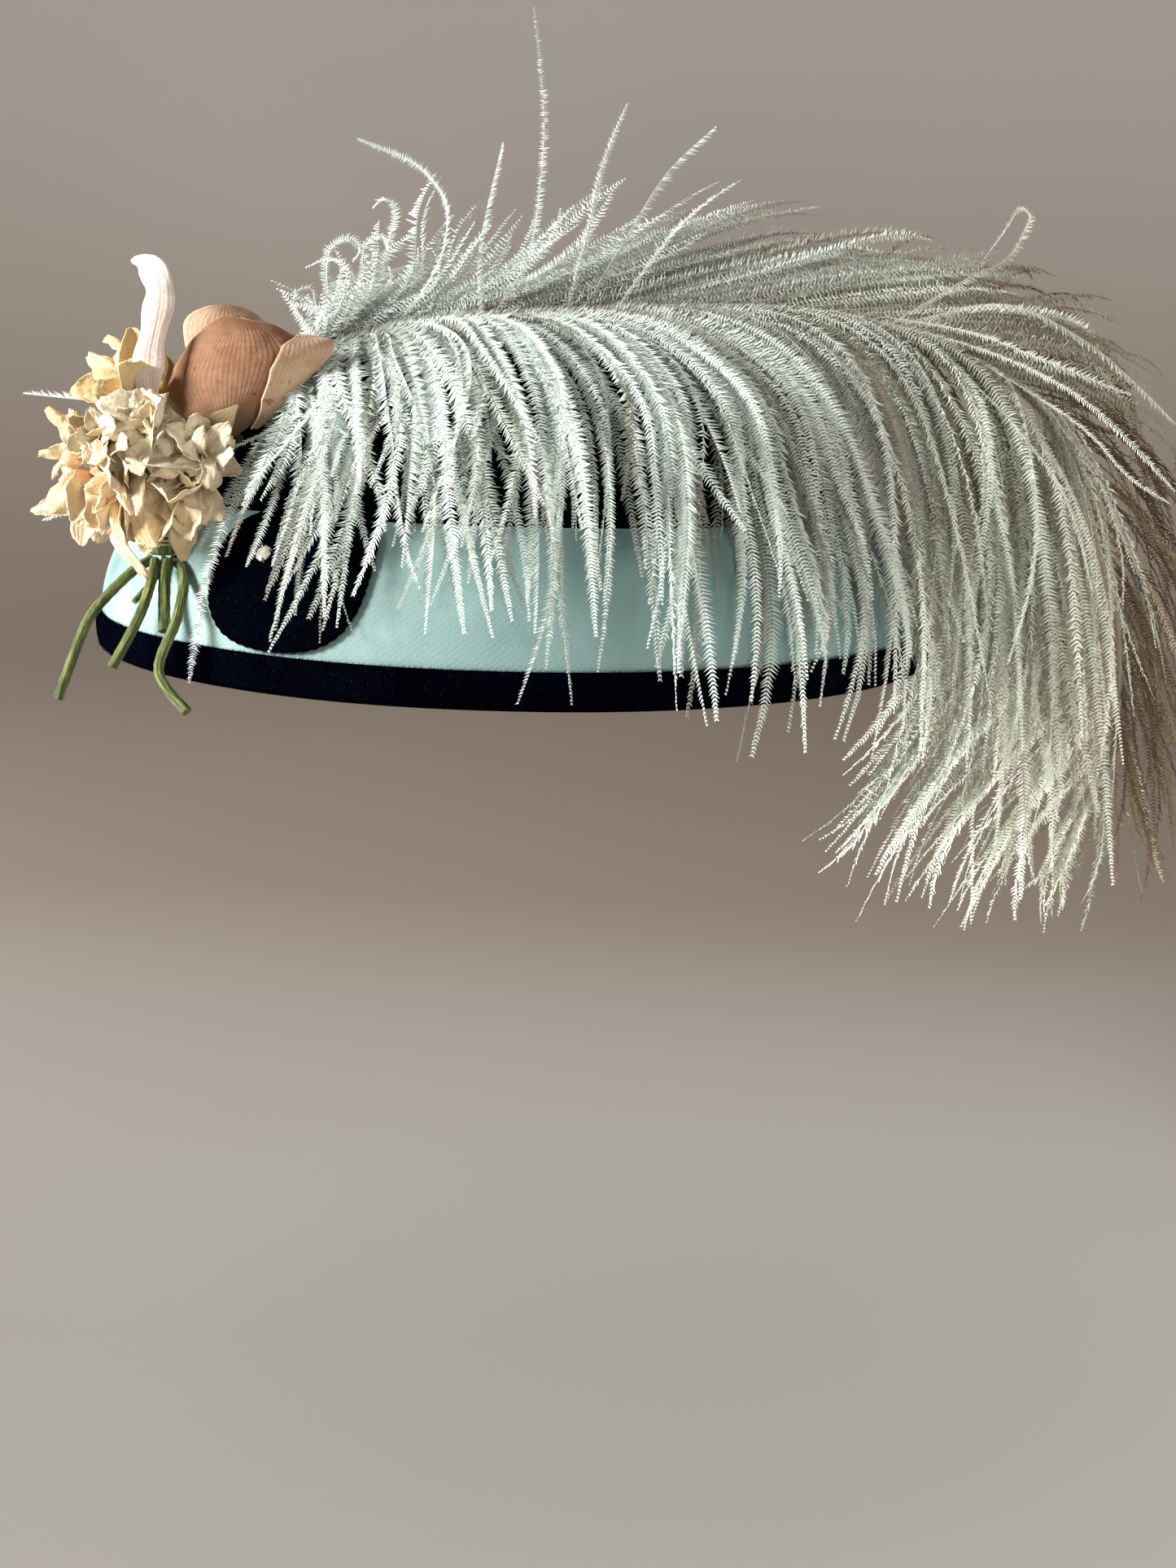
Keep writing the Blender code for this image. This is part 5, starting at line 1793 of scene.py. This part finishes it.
def make_fuzz(finish, disc_rim):
    """Hairs on both edges of the binding and round the disc."""
    angles = [math.tau * step / FUZZ_STEPS for step in range(FUZZ_STEPS + 1)]
    for name, radius, height, lift, reach, seed in (
        ("rim_fuzz_top", RIM_RADIUS - 0.1 * MM, RIM_Z + BINDING_HEIGHT, 1.0, 0.9 * MM, 31),
        ("rim_fuzz_foot", RIM_RADIUS - 0.4 * MM, RIM_Z + 0.5 * MM, -0.5, 0.6 * MM, 32),
    ):
        points = [ring_point(radius + body_wobble(angle, height), angle, height) for angle in angles]
        ways = [ring_point(0.45, angle, lift).normalized() for angle in angles]
        edge_fuzz(name, points, ways, reach, finish, seed)
    centre = brim_point(DISC_ANGLE, 0.5, DISC_LIFT)
    points = disc_rim + disc_rim[:1]
    ways = [(point - centre).normalized() for point in points]
    edge_fuzz("disc_fuzz", points, ways, 0.7 * MM, finish, 33)


# Stage


def make_stage(finish):
    """A floor that rises into a wall all round, so that every view has a plain ground."""
    flat = STAGE_RADIUS - STAGE_CURVE
    profile = [(share * flat / 8, FLOOR_Z) for share in range(9)]
    for step in range(1, 13):
        angle = math.pi / 2 * step / 12
        profile.append((flat + STAGE_CURVE * math.sin(angle), FLOOR_Z + STAGE_CURVE * (1 - math.cos(angle))))
    profile.append((STAGE_RADIUS, FLOOR_Z + STAGE_HEIGHT))
    angles = [math.tau * number / STAGE_STEPS for number in range(STAGE_STEPS)]
    rows = [[ring_point(radius, angle, height) for angle in angles] for radius, height in profile]
    mesh = tidy_mesh(grid_mesh("studio_floor", rows, closed_across=True), closed=False)
    link_piece("studio_floor", mesh, [finish])


def set_camera():
    """The photograph's angle, worked out from the ellipses of the rim and of the crown's foot."""
    data = bpy.data.cameras.new("camera")
    data.sensor_width = SENSOR
    data.lens = SENSOR * FOCAL_PIXELS / PHOTO_HEIGHT
    data.clip_start = 0.01
    camera = bpy.data.objects.new("camera", data)
    bpy.context.scene.collection.objects.link(camera)
    down = Matrix.Rotation(math.radians(90 - CAMERA_TILT), 4, "X")
    roll = Matrix.Rotation(math.radians(CAMERA_ROLL), 4, "Z")
    camera.matrix_world = Matrix.Translation(CAMERA_PLACE) @ down @ roll
    bpy.context.scene.camera = camera


def set_light():
    """Soft window light from the left, a faint one from above and two low ones from the right."""
    for name, place, aim, size, power, colour, spread in LAMPS:
        data = bpy.data.lights.new(name, "AREA")
        data.spread = math.radians(spread)
        data.size = size
        data.energy = power
        data.color = colour
        lamp = bpy.data.objects.new(name, data)
        bpy.context.scene.collection.objects.link(lamp)
        lamp.location = place
        lamp.rotation_euler = (Vector(aim) - Vector(place)).to_track_quat("-Z", "Y").to_euler()
    world = bpy.data.worlds.new("studio")
    bpy.context.scene.world = world
    world.use_nodes = True
    sky = world.node_tree.nodes["Background"]
    sky.inputs["Color"].default_value = (1.0, 0.90, 0.78, 1)
    sky.inputs["Strength"].default_value = 0.18
    bpy.context.scene.view_settings.view_transform = "Standard"


def main():
    set_camera()
    navy = velvet("navy_velvet", (0.0002, 0.0003, 0.0008), (0.0008, 0.0012, 0.0035),
                  (0.05, 0.055, 0.08), sheen=0.0, sheen_tint=(0.4, 0.45, 0.8), lines=0.1,
                  sparkle=0.5, plume_side_shade=0.0)
    aqua = velvet("aqua_velvet", (0.20, 0.31, 0.305), (0.42, 0.59, 0.57),
                  (0.84, 0.95, 0.93), sheen=0.3, sheen_tint=(0.85, 1.0, 0.98), lines=0.15,
                  sparkle=0.9, plume_side_shade=0.9)
    feather = feather_finish("ostrich_feather", (0.26, 0.25, 0.20), (0.60, 0.68, 0.63),
                             (0.90, 0.985, 0.945), far_shade_tint=(0.98, 0.91, 0.80))
    # A darker, warmer copy of the feather finish: painted shade for the back plume's outer flues.
    shaded_feather = feather_finish("ostrich_feather_warm", (0.16, 0.12, 0.08), (0.38, 0.33, 0.25),
                                    (0.72, 0.69, 0.60), far_shade_tint=(0.86, 0.73, 0.57))
    satin_tan = satin("rose_satin", (0.22, 0.095, 0.045), (0.29, 0.145, 0.085), (0.52, 0.34, 0.23),
                      rust=(0.18, 0.05, 0.012), roughness=0.65)
    satin_fold = satin("pale_tan_satin", (0.46, 0.28, 0.17), (0.50, 0.32, 0.21), (0.80, 0.60, 0.44),
                       rust=(0.36, 0.12, 0.04), roughness=0.5)
    satin_pale = satin("pale_satin", (0.84, 0.70, 0.62), (0.80, 0.62, 0.53), (1.0, 0.95, 0.91),
                       rust=(0.66, 0.40, 0.30), roughness=0.7)
    yellow = cotton("yellowed_cotton", (0.98, 0.90, 0.62), (0.84, 0.63, 0.32), (0.56, 0.34, 0.12),
                    heart=(0.80, 0.50, 0.02))
    cream = cotton("cream_cotton", (0.98, 0.90, 0.70), (0.78, 0.56, 0.30), (0.52, 0.36, 0.18),
                   heart=(0.66, 0.26, 0.10))
    grey = cotton("greyed_cotton", (0.95, 0.88, 0.70), (0.64, 0.48, 0.27), (0.40, 0.30, 0.17),
                  heart=(0.36, 0.27, 0.12))
    tan = cotton("tan_cotton", (0.42, 0.32, 0.15), (0.26, 0.19, 0.08), (0.2, 0.12, 0.04),
                 heart=(0.3, 0.24, 0.08))
    green = taped("green_tape", (0.03, 0.045, 0.008), (0.085, 0.115, 0.025), (0.42, 0.46, 0.14))
    thread = taped("binding_thread", (0.30, 0.28, 0.20), (0.5, 0.46, 0.34), (0.7, 0.66, 0.5))
    # Near-black tape for the floor of the hollow stem's bore: painted shade.
    dark = taped("stem_bore", (0.01, 0.01, 0.008), (0.03, 0.025, 0.02), (0.05, 0.04, 0.03))
    glass = worn_metal("foiled_stone", (0.78, 0.70, 0.56), (0.97, 0.96, 0.93), grain=900.0,
                       spread=0.15, Roughness=0.08, Coat_Weight=1.0, Coat_Roughness=0.03, Metallic=0.6)
    brass = worn_metal("stone_prongs", (0.28, 0.18, 0.08), (0.62, 0.47, 0.24), grain=1200.0,
                       spread=0.2, Roughness=0.4, Metallic=1.0)

    turned("velvet_crown", crown_profile(), WALL, navy, "navy_velvet", "crown")
    turned("velvet_brim", brim_profile(BRIM_RINGS), WALL, aqua, "aqua_velvet", "brim")
    turned("bound_rim", binding_profile(), BINDING_WALL, navy, "navy_velvet", "rim_binding")
    disc_rim = make_disc(navy)
    make_stone(glass, brass)
    make_plumes(feather, shaded_feather)
    make_rose(satin_tan, satin_fold, satin_pale, tan, green)
    cottons = {1: yellow, 2: grey, 4: grey, 5: grey}
    for number, row in enumerate(BLOSSOMS, 1):
        make_blossom(number, row, random.Random(40 + number), cottons.get(number, cream))
    make_wires(green, thread)
    for number, row in enumerate(STEMS, 1):
        make_stem(number, row, green, dark)
    make_fuzz(navy, disc_rim)
    bpy.data.objects.remove(BARB)
    make_stage(plain_paper())
    set_light()


main()
